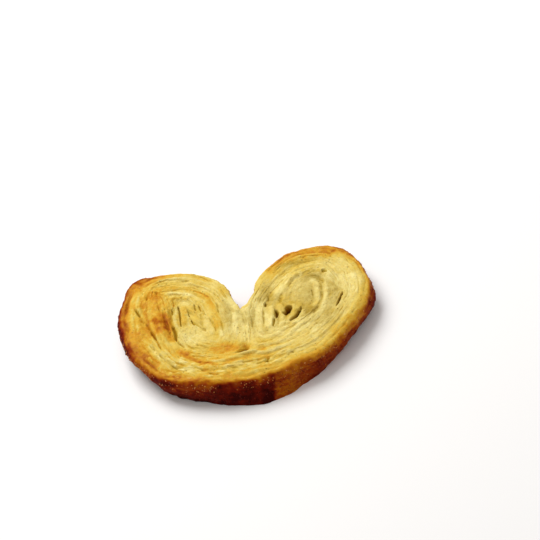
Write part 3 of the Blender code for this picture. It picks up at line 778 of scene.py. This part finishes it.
def numbered(store, lobe, depth, values, known):
    """Gives each point of a sheet its vertex, one where lines meet, and lists the ring at the core."""
    steps, rows = depth.shape[0] - 1, depth.shape[1] - 1
    ids = np.zeros(depth.shape, dtype=int)
    ring = {}
    for i in range(steps, -1, -1):
        for j in range(rows, -1, -1):
            if depth[i, j] >= TURNS:
                step = int(lobe.step[i])
                if step not in ring:
                    ring[step] = store.add(*values[i, j])
                ids[i, j] = ring[step]
            elif j == rows:
                ids[i, j] = ids[i + STEPS_ROUND, 0]
            elif (i, j) in known:
                ids[i, j] = known[i, j]
            else:
                ids[i, j] = store.add(*values[i, j])
    return ids, [ring[step] for step in range(STEPS_ROUND)]


def shared_points(left):
    """Vertices of the left lobe's sheet that the right lobe's takes over: the middle line and the seam."""
    middle = {(0, j): left[0, j] for j in range(left.shape[1])}
    seam = {(i, 0): left[i, 0] for i in range(STEPS_TO_NOTCH, STEPS_ROUND + 1)}
    return {**middle, **seam}


def sheet_faces(store, lobe, ids, ring, laminae, flip):
    """Faces of one sheet between its steps and rows, and the one that closes its core."""
    start = RIGHT_LOBE_TRAVEL * (lobe.side > 0)
    for i in range(len(lobe.step) - 1):
        here = i / STEPS_ROUND * TRAVEL_IN_TURN + start
        there = (i + 1) / STEPS_ROUND * TRAVEL_IN_TURN + start
        for j in range(len(laminae) - 1):
            cell = (ids[i, j], ids[i, j + 1], ids[i + 1, j + 1], ids[i + 1, j])
            low, high = laminae[j], laminae[j + 1]
            store.face(cell, ((here, low), (here, high), (there, high), (there, low)), flip)
    store.face(ring, [(0.0, 0.0)] * len(ring), flip)


def build_pastry(shape):
    """The whole slice as one closed mesh: layered upper face, crusted wall and ridged underside."""
    rows = row_places(shape.layers)
    lobes = (Lobe(LEFT_EDGE, LEFT_CORE, -1, rows), Lobe(RIGHT_EDGE, RIGHT_CORE, 1, rows))
    lines = [waver(nibble_edge(lobe)) for lobe in lobes]
    laminae = np.arange(len(rows)) / ROWS_IN_LAYER
    store = MeshStore()
    sheets = []
    known = {}
    for lobe, xy in zip(lobes, lines):
        ids, ring = numbered(store, lobe, lobe.depth, np.dstack([xy, *relief(lobe, xy, shape)]), known)
        sheet_faces(store, lobe, ids, ring, laminae, lobe.side > 0)
        known = shared_points(ids)
        sheets.append(ids)
    left, right = sheets
    edge = list(left[:STEPS_TO_NOTCH + 1, 0]) + list(right[STEPS_TO_NOTCH - 1:0:-1, 0])
    foot, moved = build_wall(store, edge, shape)
    build_underside(store, lobes, lines, foot, moved, shape)
    return store


def build_wall(store, upper, shape):
    """The wall, ring by ring down from the face's edge; returns its foot and how far that has moved."""
    top = np.array([store.vertices[i] for i in upper]) / MM + np.array([ORIGIN_X, ORIGIN_Y, 0.0])
    along = np.roll(top[:, :2], -1, axis=0) - np.roll(top[:, :2], 1, axis=0)
    for _ in range(12):
        along = 0.25 * np.roll(along, 1, axis=0) + 0.5 * along + 0.25 * np.roll(along, -1, axis=0)
    along /= np.linalg.norm(along, axis=1)[:, None]
    inward = np.column_stack([along[:, 1], -along[:, 0]])
    around = np.cumsum(np.linalg.norm(top[:, :2] - np.roll(top[:, :2], 1, axis=0), axis=1))
    x, y, height = top.T
    before = 1.0
    for level in WALL_LEVELS + (0.0,):
        rough = 0.35 * soft_noise(x / 6.0 + 9.0 * level, y / 6.0, 31) * (1.0 - level)
        rough = rough + shape.crust_depth * soft_noise(around / 1.5, np.full_like(x, level * 9.0), 32)
        rough = rough + 0.5 * shape.crust_depth * soft_noise(around / 4.0, np.full_like(x, level * 4.0), 33)
        fade = 0.25 if level == 0.0 else 1.0
        shift = inward * (wall_shift(x, y, level) + rough * fade - 0.2)[:, None]
        ring = top[:, :2] + shift
        toast = wall_toasting(x, y, level)
        lower = [store.add(*spot, z, brown, 0.0) for spot, z, brown in zip(ring, level * height, toast)]
        over, under = (WALL_LAMINA + LAMINAE_IN_WALL * part for part in (before, level))
        for k in range(len(upper)):
            n = (k + 1) % len(upper)
            here, there = around[k], around[k] + 1.0
            corners = ((here, over), (there, over), (there, under), (here, under))
            store.face((upper[k], upper[n], lower[n], lower[k]), corners, True)
        upper = lower
        before = level
    return upper, ring - top[:, :2]


def wall_toasting(x, y, level):
    """How brown the wall is painted at a level from 0 at the foot to 1: palest at its sill, darkest at its
    foot; its dark lower part is partly browned crust and partly painted shade.
    """
    x = x + DARK_WALL_LEAN * (1.0 - level)
    dark_side = smoothstep(DARK_WALL_END[1], DARK_WALL_END[0], x) * smoothstep(10.0, -8.0, y)
    light_side = smoothstep(*DARK_WALL_END, x) * smoothstep(52.0, 40.0, x) * smoothstep(0.0, -14.0, y)
    inner_side = blot(x, y, (0.0, 14.0, 10.0, 12.0))
    middle = smoothstep(-30.0, -6.0, x)
    right = smoothstep(18.0, 30.0, x)
    high = 0.62 + 0.05 * soft_noise(x / 5.0, y / 5.0, 61) + 0.16 * blot(x, y, RIGHT_BUMP)
    high = high + dark_side * (0.04 + 0.16 * middle + 0.12 * blot(x, y, LOW_LEFT))
    high = high + light_side * (0.04 + 0.17 * right) - 0.18 * inner_side
    low = 0.93 + 0.05 * soft_noise(x / 5.0, y / 5.0, 62) + 0.06 * dark_side
    low = low - light_side * (0.24 - 0.06 * right) - 0.22 * inner_side
    sill = 0.20 * blot(x, y, (36.0, -21.0, 9.0, 8.0)) + 0.08 * blot(x, y, (-24.0, -32.0, 10.0, 6.0))
    return high + (low - high) * (1.0 - level) ** 0.55 - sill * math.exp((level - 1.0) / 0.13)


def build_underside(store, lobes, lines, foot, foot_shift, shape):
    """The flat baked underside, where the layer lines show as shallow grooves."""
    picked = np.arange(0, lines[0].shape[1], UNDER_STEP)
    outer = np.arange(STEPS_TO_NOTCH + 1)
    seam_steps = STEPS_ROUND - STEPS_TO_NOTCH
    fade = np.arange(seam_steps, -1, -1)[:, None] / seam_steps
    shared = {}
    for lobe, points in zip(lobes, lines):
        loop = (-lobe.side * outer) % len(foot)
        shift = np.vstack([foot_shift[loop[:-1]], foot_shift[loop[-1]] * fade])
        across = lobe.across[:, picked]
        depth = lobe.depth[:, picked]
        moved = points[:, picked].copy()
        first = lobe.turn == 0
        moved[first] += shift[lobe.step[first]][:, None] * ((1.0 - across[first]) ** 1.5)[..., None]
        x, y = moved[..., 0], moved[..., 1]
        groove = (np.arange(len(picked)) % 2 == 0) * (depth < TURNS)
        z = shape.under_groove * groove * (0.6 + 0.4 * soft_noise(x / 5.0, y / 5.0, 71))
        toast = 0.62 + 0.14 * soft_noise(x / 7.0, y / 7.0, 72)
        toast = toast + 0.08 * soft_noise(lobe.travelled[:, picked] * 20.0, across * 7.0, 73)
        known = {**shared, **{(i, 0): foot[k] for i, k in enumerate(loop)}}
        # The underside's grooves get recess, painted shade in them
        ids, ring = numbered(store, lobe, depth, np.dstack([x, y, z, toast, 0.5 * groove]), known)
        sheet_faces(store, lobe, ids, ring, picked / ROWS_IN_LAYER + UNDER_LAMINA, lobe.side < 0)
        shared = shared_points(ids)


def face_outward(mesh):
    """Makes every face look outward and drops what no face uses."""
    work = bmesh.new()
    work.from_mesh(mesh)
    bmesh.ops.recalc_face_normals(work, faces=work.faces)
    loose = [vert for vert in work.verts if not vert.link_faces]
    bmesh.ops.delete(work, geom=loose, context="VERTS")
    work.to_mesh(mesh)
    work.free()


class Wire:
    """A node's socket that can stand in sums."""

    def __init__(self, finish, socket):
        self.finish = finish
        self.socket = socket

    def _math(self, operation, first, second=None):
        return self.finish.node("ShaderNodeMath", {"operation": operation}, {0: first, 1: second})

    def __add__(self, other):
        return self._math("ADD", self, other)

    def __radd__(self, other):
        return self._math("ADD", other, self)

    def __sub__(self, other):
        return self._math("SUBTRACT", self, other)

    def __rsub__(self, other):
        return self._math("SUBTRACT", other, self)

    def __mul__(self, other):
        return self._math("MULTIPLY", self, other)

    def __rmul__(self, other):
        return self._math("MULTIPLY", other, self)


class Finish:
    """A material under construction."""

    def __init__(self, name):
        self.material = bpy.data.materials.new(name)
        self.material.use_nodes = True
        self.tree = self.material.node_tree
        self.shader = next(node for node in self.tree.nodes if node.type == "BSDF_PRINCIPLED")

    def plug(self, socket, value):
        """Links a wire to a socket, or sets the socket to a value."""
        if isinstance(value, Wire):
            self.tree.links.new(value.socket, socket)
        elif value is not None:
            socket.default_value = value

    def node(self, kind, settings=None, values=None, output=0):
        """Adds a node, sets what it is, then feeds its sockets."""
        node = self.tree.nodes.new(kind)
        for name, value in (settings or {}).items():
            if name == "stops":
                ramp = node.color_ramp
                while len(ramp.elements) < len(value):
                    ramp.elements.new(0.5)
                for element, (position, colour) in zip(ramp.elements, value):
                    element.position = position
                    element.color = colour
            else:
                setattr(node, name, value)
        for name, value in (values or {}).items():
            self.plug(node.inputs[name], value)
        return Wire(self, node.outputs[output])

    def mask(self, value, low, high):
        """Rises smoothly from 0 at low to 1 at high."""
        return self.node("ShaderNodeMapRange", {"interpolation_type": "SMOOTHSTEP"},
                         {"Value": value, "From Min": low, "From Max": high})

    def blend(self, factor, first, second, kind="MIX"):
        """Mixes two colours."""
        return self.node("ShaderNodeMix", {"data_type": "RGBA", "blend_type": kind},
                         {0: factor, 6: first, 7: second}, 2)

    def attribute(self, name):
        """Reads a value that the mesh carries."""
        return self.node("ShaderNodeAttribute", {"attribute_name": name}, None, 2)

    def noise(self, vector, scale, detail=2.0, roughness=0.5):
        """Noise from 0 to 1 over a vector."""
        return self.node("ShaderNodeTexNoise", {"noise_dimensions": "3D"},
                         {"Vector": vector, "Scale": scale, "Detail": detail, "Roughness": roughness})

    def place(self):
        """Reads where on the object the finish is."""
        return self.node("ShaderNodeTexCoord", None, None, 3)

    def vector(self, x, y, z=0.0):
        """Makes a vector of three values."""
        return self.node("ShaderNodeCombineXYZ", None, {0: x, 1: y, 2: z})

    def feed(self, **sockets):
        """Feeds the shader's sockets, which are named with underscores for spaces."""
        for name, value in sockets.items():
            self.plug(self.shader.inputs[name.replace("_", " ")], value)


def opaque(colour):
    """A colour as a shader wants it."""
    return tuple(colour) + (1.0,)


def pastry_finish(colours):
    """Baked pastry: streaks along the laminae and browned sugar, with painted shade in the grooves, slits,
    fine pores, small pits between crumbs and on low dough.
    """
    finish = Finish("baked_pastry")
    toast = finish.attribute("toast")
    recess = finish.attribute("recess")
    dull = finish.attribute("dull")
    travel = finish.attribute("travel")
    lamina = finish.attribute("lamina")
    place = finish.place()

    streak = finish.noise(finish.vector(travel * 0.16, lamina * 2.4), 1.0, 3.0, 0.55)
    flakes = finish.noise(finish.vector(travel * 0.55, lamina * 4.0, 3.0), 1.0, 4.0, 0.65)
    mottle = finish.noise(place, 420.0, 3.0)
    cloud = finish.noise(place, 190.0)
    crumb = finish.noise(place, 1000.0, 5.0, 0.68)
    cells = finish.node("ShaderNodeTexVoronoi", {"feature": "F1"}, {"Vector": place, "Scale": 700.0})
    pores = (1.0 - finish.mask(cells, 0.08, 0.26)) * finish.mask(finish.noise(place, 170.0), 0.54, 0.64)

    well_baked = finish.mask(toast, 0.70, 0.90)
    uneven = 0.20 * (streak - 0.5) + 0.21 * (flakes - 0.5) + 0.13 * (crumb - 0.5)
    uneven = uneven + (0.22 + 0.10 * well_baked) * (mottle - 0.5) + (0.18 + 0.26 * well_baked) * (cloud - 0.5)
    brown = toast + (0.7 + 0.4 * toast) * uneven
    stops = ((0.0, colours.cream), (0.14, colours.pale), (0.26, colours.butter), (0.38, colours.yellow),
             (0.50, colours.golden), (0.62, colours.caramel), (0.72, colours.rust), (0.83, colours.brown),
             (1.0, colours.dark))
    stops = [(position, opaque(colour)) for position, colour in stops]
    crust = finish.node("ShaderNodeValToRGB", {"stops": stops}, {"Fac": brown})
    lie = crumb + 0.7 * (flakes - 0.5)
    fleck = 0.34 * finish.mask(lie, 0.57, 0.73) * finish.mask(toast, 0.62, 0.40)
    crust = finish.blend(fleck, crust, opaque(colours.cream))
    # Share of the painted shade on low dough, which also tints it greyer like rawer dough
    dull_shade_share = finish.mask(dull + 0.8 * dull * (mottle - 0.5) + 0.2 * (0.5 - lie), 0.0, 1.0)
    # Painted shade: on low dough, in grooves (hollow), in small pits between crumbs (grain), in slits and
    # holes (slit) and in pores
    shades = (
        (dull_shade_share, colours.dull_dough_shade),
        (finish.mask(recess, 0.0, 0.75), colours.hollow),
        (finish.mask(lie, 0.50, 0.24), colours.grain),
        (finish.mask(recess, 0.52, 0.95), colours.slit),
        (pores * 0.6, colours.slit),
    )
    for share, shade in shades:
        crust = finish.blend(share, crust, opaque(shade), "MULTIPLY")

    height = 0.45 * flakes + crumb + 0.30 * mottle - 0.6 * pores
    bump = finish.node("ShaderNodeBump", None, {"Strength": 0.8, "Distance": 0.0006, "Height": height})
    glaze = finish.mask(toast + 0.5 * (mottle - 0.5), 0.36, 0.52) * finish.mask(toast, 0.72, 0.58)
    finish.feed(Base_Color=crust, Roughness=0.72 - 0.18 * glaze, Coat_Weight=0.10 * glaze, Normal=bump)
    finish.feed(Coat_Roughness=0.45, Specular_IOR_Level=0.04)
    finish.feed(Subsurface_Weight=0.06, Subsurface_Radius=(1.0, 0.55, 0.25), Subsurface_Scale=0.0010)
    return finish.material


def sugar_finish(colours):
    """Sugar grains, half melted: most amber, some browned or burnt, and a few painted pale as glints, a
    painted highlight.
    """
    finish = Finish("amber_sugar")
    cloud = finish.noise(finish.place(), 900.0)
    melted = finish.attribute("tint") + 0.2 * (cloud - 0.5)
    colour = opaque(colours.glint)
    for low, high, darker in ((0.15, 0.35, colours.sugar), (0.50, 0.80, colours.brown),
                              (0.80, 1.0, colours.burnt_sugar)):
        colour = finish.blend(finish.mask(melted, low, high), colour, opaque(darker))
    bump = finish.node("ShaderNodeBump", None, {"Strength": 0.3, "Distance": 0.0001, "Height": cloud})
    finish.feed(Base_Color=colour, Roughness=0.45 + 0.2 * cloud, Normal=bump)
    finish.feed(Specular_IOR_Level=0.12)
    finish.feed(Subsurface_Weight=0.3, Subsurface_Radius=(1.0, 0.6, 0.3), Subsurface_Scale=0.0006)
    return finish.material


def floor_finish(colours):
    """A matt pale floor."""
    finish = Finish("pale_floor")
    faint = finish.noise(finish.place(), 60.0)
    finish.feed(Base_Color=opaque(colours.floor), Roughness=0.75 + 0.1 * faint)
    finish.feed(Specular_IOR_Level=0.2)
    return finish.material


def millimetres(name, description, default):
    """A property that holds a size in millimetres."""
    return FloatProperty(name=name, description=description + ", in mm", default=default)


def screen_colour(name, description, rgb):
    """A colour property whose default is given as a screen colour from 0 to 255."""
    parts = [part / 255.0 for part in rgb]
    light = [part / 12.92 if part <= 0.04045 else ((part + 0.055) / 1.055) ** 2.4 for part in parts]
    return FloatVectorProperty(name=name, description=description, subtype="COLOR", size=3, min=0.0, max=1.0,
                               default=light)


class PalmierShape(bpy.types.PropertyGroup):
    """Sizes of the pastry that a user may change."""

    layers: IntProperty(name="Layers in a fold", description="Thick layers across one fold",
                        default=7, min=3, max=12)
    ridge_depth: millimetres("Ridge depth", "Depth of a groove between layers", 0.48)
    layer_uneven: millimetres("Layer unevenness", "How far layers differ in height", 0.55)
    leaf_depth: millimetres("Leaf depth", "Depth of the fine lines inside a layer", 0.17)
    split_depth: millimetres("Split depth", "Extra depth where two layers part", 0.35)
    rim_drop: millimetres("Rim drop", "How far the edge rounds down to the wall", 2.4)
    rim_reach: millimetres("Rim reach", "Width of the rounded edge", 2.8)
    crust_depth: millimetres("Crust roughness", "Unevenness of the wall's crust", 0.16)
    under_groove: millimetres("Underside groove", "Depth of the underside's lines", 0.35)


class PalmierSugar(bpy.types.PropertyGroup):
    """Sugar grains that stick to the crust."""

    grains: IntProperty(name="Grains", description="Number of sugar grains on the crust",
                        default=3000, min=0, max=6000)
    grain_size: millimetres("Grain size", "Mean width of a grain", 0.34)


class PalmierColours(bpy.types.PropertyGroup):
    """Colours of the pastry, from palest to darkest, of the sugar and of the floor."""

    cream: screen_colour("Cream", "Least baked flakes", (247, 231, 153))
    pale: screen_colour("Pale pastry", "Hardly baked layers", (231, 208, 120))
    butter: screen_colour("Buttery pastry", "Lightly baked layers", (224, 193, 88))
    yellow: screen_colour("Yellow pastry", "Layers that begin to brown", (220, 173, 57))
    golden: screen_colour("Golden pastry", "Golden layers", (208, 143, 27))
    caramel: screen_colour("Caramel", "Browned sugar", (177, 102, 4))
    rust: screen_colour("Rust", "Red brown crust", (142, 54, 8))
    brown: screen_colour("Brown crust", "Well baked crust", (104, 17, 1))
    dark: screen_colour("Dark crust", "Darkest crust", (56, 4, 1))
    # Painted shade with a greyer tint for dough that lies low between strands, partly its rawer colour
    dull_dough_shade: screen_colour("Dull dough", "Tint of dough that lies low between strands", (202, 192, 156))
    # Hollow, grain and slit are painted shade: in shallow grooves, in small pits between crumbs, and in deep
    # slits, holes and pores
    hollow: screen_colour("Hollow shade", "Tint of shallow grooves", (212, 199, 121))
    grain: screen_colour("Grain shade", "Tint of small pits between crumbs", (225, 218, 206))
    slit: screen_colour("Slit shade", "Tint of deep slits and pores", (166, 130, 34))
    # Glint: pale grains painted as sparkle on the crust, a painted highlight
    glint: screen_colour("Glint", "Sugar grains that stayed pale", (200, 134, 76))
    sugar: screen_colour("Sugar", "Clear sugar grains", (186, 104, 34))
    burnt_sugar: screen_colour("Burnt sugar", "Browned sugar grains", (76, 16, 4))
    floor: screen_colour("Floor", "The pale floor", (246, 246, 246))


class PalmierStudio(bpy.types.PropertyGroup):
    """Camera and lights."""

    azimuth: FloatProperty(name="Azimuth", description="Side from which the camera looks",
                           default=math.radians(5.105), subtype="ANGLE")
    elevation: FloatProperty(name="Elevation", description="Height of the camera's view",
                             default=math.radians(40.0), subtype="ANGLE")
    roll: FloatProperty(name="Roll", description="Turn of the camera about its view",
                        default=math.radians(-14.0), subtype="ANGLE")
    distance: FloatProperty(name="Distance", description="From the camera to its aim",
                            default=0.66806, unit="LENGTH")
    lens: FloatProperty(name="Lens", description="Focal length", default=101.27, unit="CAMERA")
    key: FloatProperty(name="Key light", description="Strength of the main light", default=6.45,
                       unit="POWER")
    fill: FloatProperty(name="Fill light", description="Strength of the front light", default=0.4,
                        unit="POWER")
    sky: FloatProperty(name="Sky", description="Strength of the light from all round", default=0.50)


def place_object(name, data):
    """Puts a mesh, light or camera into the scene as an object."""
    thing = bpy.data.objects.new(name, data)
    bpy.context.scene.collection.objects.link(thing)
    return thing


class PALMIER_OT_pastry(bpy.types.Operator):
    """Make the layered pastry and let it stand for the plain solid"""

    bl_idname = "palmier.pastry"
    bl_label = "Pastry"

    def execute(self, context):
        store = build_pastry(context.scene.palmier_shape)
        mesh = store.build("layered_pastry")
        face_outward(mesh)
        mesh.materials.append(pastry_finish(context.scene.palmier_colours))
        pastry = place_object("layered_pastry", mesh)
        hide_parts("palmier")
        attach(pastry, "root")
        return {"FINISHED"}


def grain_shape(random, size):
    """One sugar grain: a small block with uneven corners."""
    corners = np.array([(x, y, z) for x in (-0.5, 0.5) for y in (-0.5, 0.5) for z in (-0.5, 0.5)])
    corners *= size * random.uniform(0.7, 1.25, 3)
    corners += size * random.uniform(-0.14, 0.14, (8, 3))
    turn = np.array(Euler(random.uniform(0.0, 6.28, 3)).to_matrix())
    return corners @ turn.T


BLOCK_FACES = ((0, 1, 3, 2), (4, 6, 7, 5), (0, 4, 5, 1), (2, 3, 7, 6), (0, 2, 6, 4), (1, 5, 7, 3))


def point_values(mesh, label):
    """Values that the mesh carries at its vertices."""
    values = np.zeros(len(mesh.vertices))
    mesh.attributes[label].data.foreach_get("value", values)
    return values


def grain_weights(areas, normals, middle, recess):
    """How likely each triangle of the pastry is to hold a grain: in patches on the steep crust."""
    x, y, height = middle.T
    steep = 1.0 - smoothstep(0.35, 0.75, np.abs(normals[:, 2]))
    open_crust = (height < SUGAR_TOP) & (recess < SUGAR_RECESS)
    notch = 1.0 - 0.85 * blot(x, y, (0.0, 14.0, 9.0, 12.0))
    patches = smoothstep(-0.5, 0.5, soft_noise(x / 4.0 + height / 6.0, y / 4.0, 82))
    return areas * steep * open_crust * notch * (0.35 + patches) * smoothstep(0.6, 2.0, height)


class PALMIER_OT_sugar(bpy.types.Operator):
    """Scatter sugar grains over the crust of the wall"""

    bl_idname = "palmier.sugar"
    bl_label = "Sugar grains"

    def execute(self, context):
        settings = context.scene.palmier_sugar
        pastry = bpy.data.objects["layered_pastry"].data
        random = np.random.default_rng(81)
        pastry.calc_loop_triangles()
        count = len(pastry.loop_triangles)
        corners = np.zeros(count * 3, dtype=np.int32)
        pastry.loop_triangles.foreach_get("vertices", corners)
        corners = corners.reshape(-1, 3)
        places = np.zeros(len(pastry.vertices) * 3)
        pastry.vertices.foreach_get("co", places)
        a, b, c = places.reshape(-1, 3)[corners.T]
        toast = point_values(pastry, "toast")[corners].mean(axis=1)
        recess = point_values(pastry, "recess")[corners].max(axis=1)
        normals = np.cross(b - a, c - a)
        areas = np.linalg.norm(normals, axis=1)
        normals /= np.maximum(areas, 1e-15)[:, None]
        middle = (a + b + c) / 3.0 / MM
        weight = grain_weights(areas, normals, middle, recess)
        chosen = random.choice(count, size=settings.grains, p=weight / weight.sum())
        vertices, faces, tints = [], [], []
        for triangle in chosen:
            s, t = random.uniform(0.0, 1.0, 2)
            if s + t > 1.0:
                s, t = 1.0 - s, 1.0 - t
            spot = a[triangle] + s * (b[triangle] - a[triangle]) + t * (c[triangle] - a[triangle])
            size = settings.grain_size * MM * random.uniform(0.55, 1.35)
            spot = spot - normals[triangle] * size * random.uniform(0.05, 0.3)
            block = grain_shape(random, size) + spot
            if block[:, 2].min() < 0.0:
                continue
            first = len(vertices)
            vertices.extend(map(tuple, block))
            faces.extend(tuple(first + k for k in face) for face in BLOCK_FACES)
            tint = toast[triangle] + random.uniform(-0.16, 0.06)
            # Above the glint level a share of grains is painted pale, a painted highlight of sparkling sugar
            if middle[triangle, 2] > GLINT_LEVEL and random.uniform() < GLINT_SHARE:
                tint = random.uniform(0.0, 0.25)
            tints.extend([float(np.clip(tint, 0.0, 1.0))] * len(block))
        mesh = bpy.data.meshes.new("sugar_grains")
        mesh.from_pydata(vertices, [], faces)
        layer = mesh.attributes.new("tint", "FLOAT", "POINT")
        layer.data.foreach_set("value", np.array(tints, dtype=np.float32))
        mesh.materials.append(sugar_finish(context.scene.palmier_colours))
        face_outward(mesh)
        grains = place_object("sugar_grains", mesh)
        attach(grains, "root")
        return {"FINISHED"}


def add_light(name, watts, direction, distance, width):
    """A square soft light that looks at the origin."""
    data = bpy.data.lights.new(name, "AREA")
    data.shape = "SQUARE"
    data.size = width
    data.energy = watts
    light = place_object(name, data)
    towards = Vector(direction).normalized()
    light.location = towards * distance
    light.rotation_euler = towards.to_track_quat("Z", "Y").to_euler()


class PALMIER_OT_studio(bpy.types.Operator):
    """Set up the pale floor, the soft lights and the camera"""

    bl_idname = "palmier.studio"
    bl_label = "Studio"

    def execute(self, context):
        scene = context.scene
        studio = scene.palmier_studio
        mesh = bpy.data.meshes.new("floor")
        work = bmesh.new()
        bmesh.ops.create_grid(work, x_segments=1, y_segments=1, size=FLOOR_REACH)
        work.to_mesh(mesh)
        work.free()
        mesh.materials.append(floor_finish(scene.palmier_colours))
        floor = place_object("floor", mesh)

        add_light("key_light", studio.key, *KEY_LIGHT)
        add_light("fill_light", studio.fill, *FILL_LIGHT)

        world = bpy.data.worlds.new("pale_surround")
        world.use_nodes = True
        backdrop = next(node for node in world.node_tree.nodes if node.type == "BACKGROUND")
        backdrop.inputs["Color"].default_value = SKY_COLOUR
        backdrop.inputs["Strength"].default_value = studio.sky
        scene.world = world
        scene.view_settings.view_transform = "Standard"

        data = bpy.data.cameras.new("camera")
        data.sensor_width = 36.0
        data.lens = studio.lens
        data.clip_start = 0.01
        data.clip_end = 20.0
        camera = place_object("camera", data)
        flat = math.cos(studio.elevation)
        side = math.sin(studio.azimuth) * flat
        back = Vector((side, -math.cos(studio.azimuth) * flat, math.sin(studio.elevation)))
        level = Vector((0.0, 0.0, 1.0)).cross(back).normalized()
        upright = back.cross(level)
        right = level * math.cos(studio.roll) + upright * math.sin(studio.roll)
        turn = Matrix((right, back.cross(right), back)).transposed()
        camera.matrix_world = Matrix.Translation(Vector(CAMERA_AIM) + back * studio.distance) @ turn.to_4x4()
        scene.camera = camera
        return {"FINISHED"}


class PALMIER_PT_panel(bpy.types.Panel):
    """Lists the palmier's pieces in the sidebar"""

    bl_idname = "PALMIER_PT_panel"
    bl_label = "Palmier"
    bl_space_type = "VIEW_3D"
    bl_region_type = "UI"
    bl_category = "Palmier"

    def draw(self, context):
        layout = self.layout
        for operator in (PALMIER_OT_pastry, PALMIER_OT_sugar, PALMIER_OT_studio):
            layout.operator(operator.bl_idname)
        for group in (context.scene.palmier_shape, context.scene.palmier_sugar, context.scene.palmier_colours,
                      context.scene.palmier_studio):
            for name in group.__annotations__:
                layout.prop(group, name)


GROUPS = {
    "palmier_shape": PalmierShape,
    "palmier_sugar": PalmierSugar,
    "palmier_colours": PalmierColours,
    "palmier_studio": PalmierStudio,
}
CLASSES = tuple(GROUPS.values()) + (PALMIER_OT_pastry, PALMIER_OT_sugar, PALMIER_OT_studio, PALMIER_PT_panel)


def register():
    """Makes the operators, the panel and the settings known."""
    for kind in CLASSES:
        bpy.utils.register_class(kind)
    for name, kind in GROUPS.items():
        setattr(bpy.types.Scene, name, PointerProperty(type=kind))


def unregister():
    """Takes back what register made known."""
    for name in GROUPS:
        delattr(bpy.types.Scene, name)
    for kind in reversed(CLASSES):
        bpy.utils.unregister_class(kind)


def main():
    """Makes every piece in order."""
    register()
    bpy.ops.palmier.pastry()
    bpy.ops.palmier.sugar()
    bpy.ops.palmier.studio()
    bpy.context.view_layer.update()


if __name__ == "__main__":
    main()
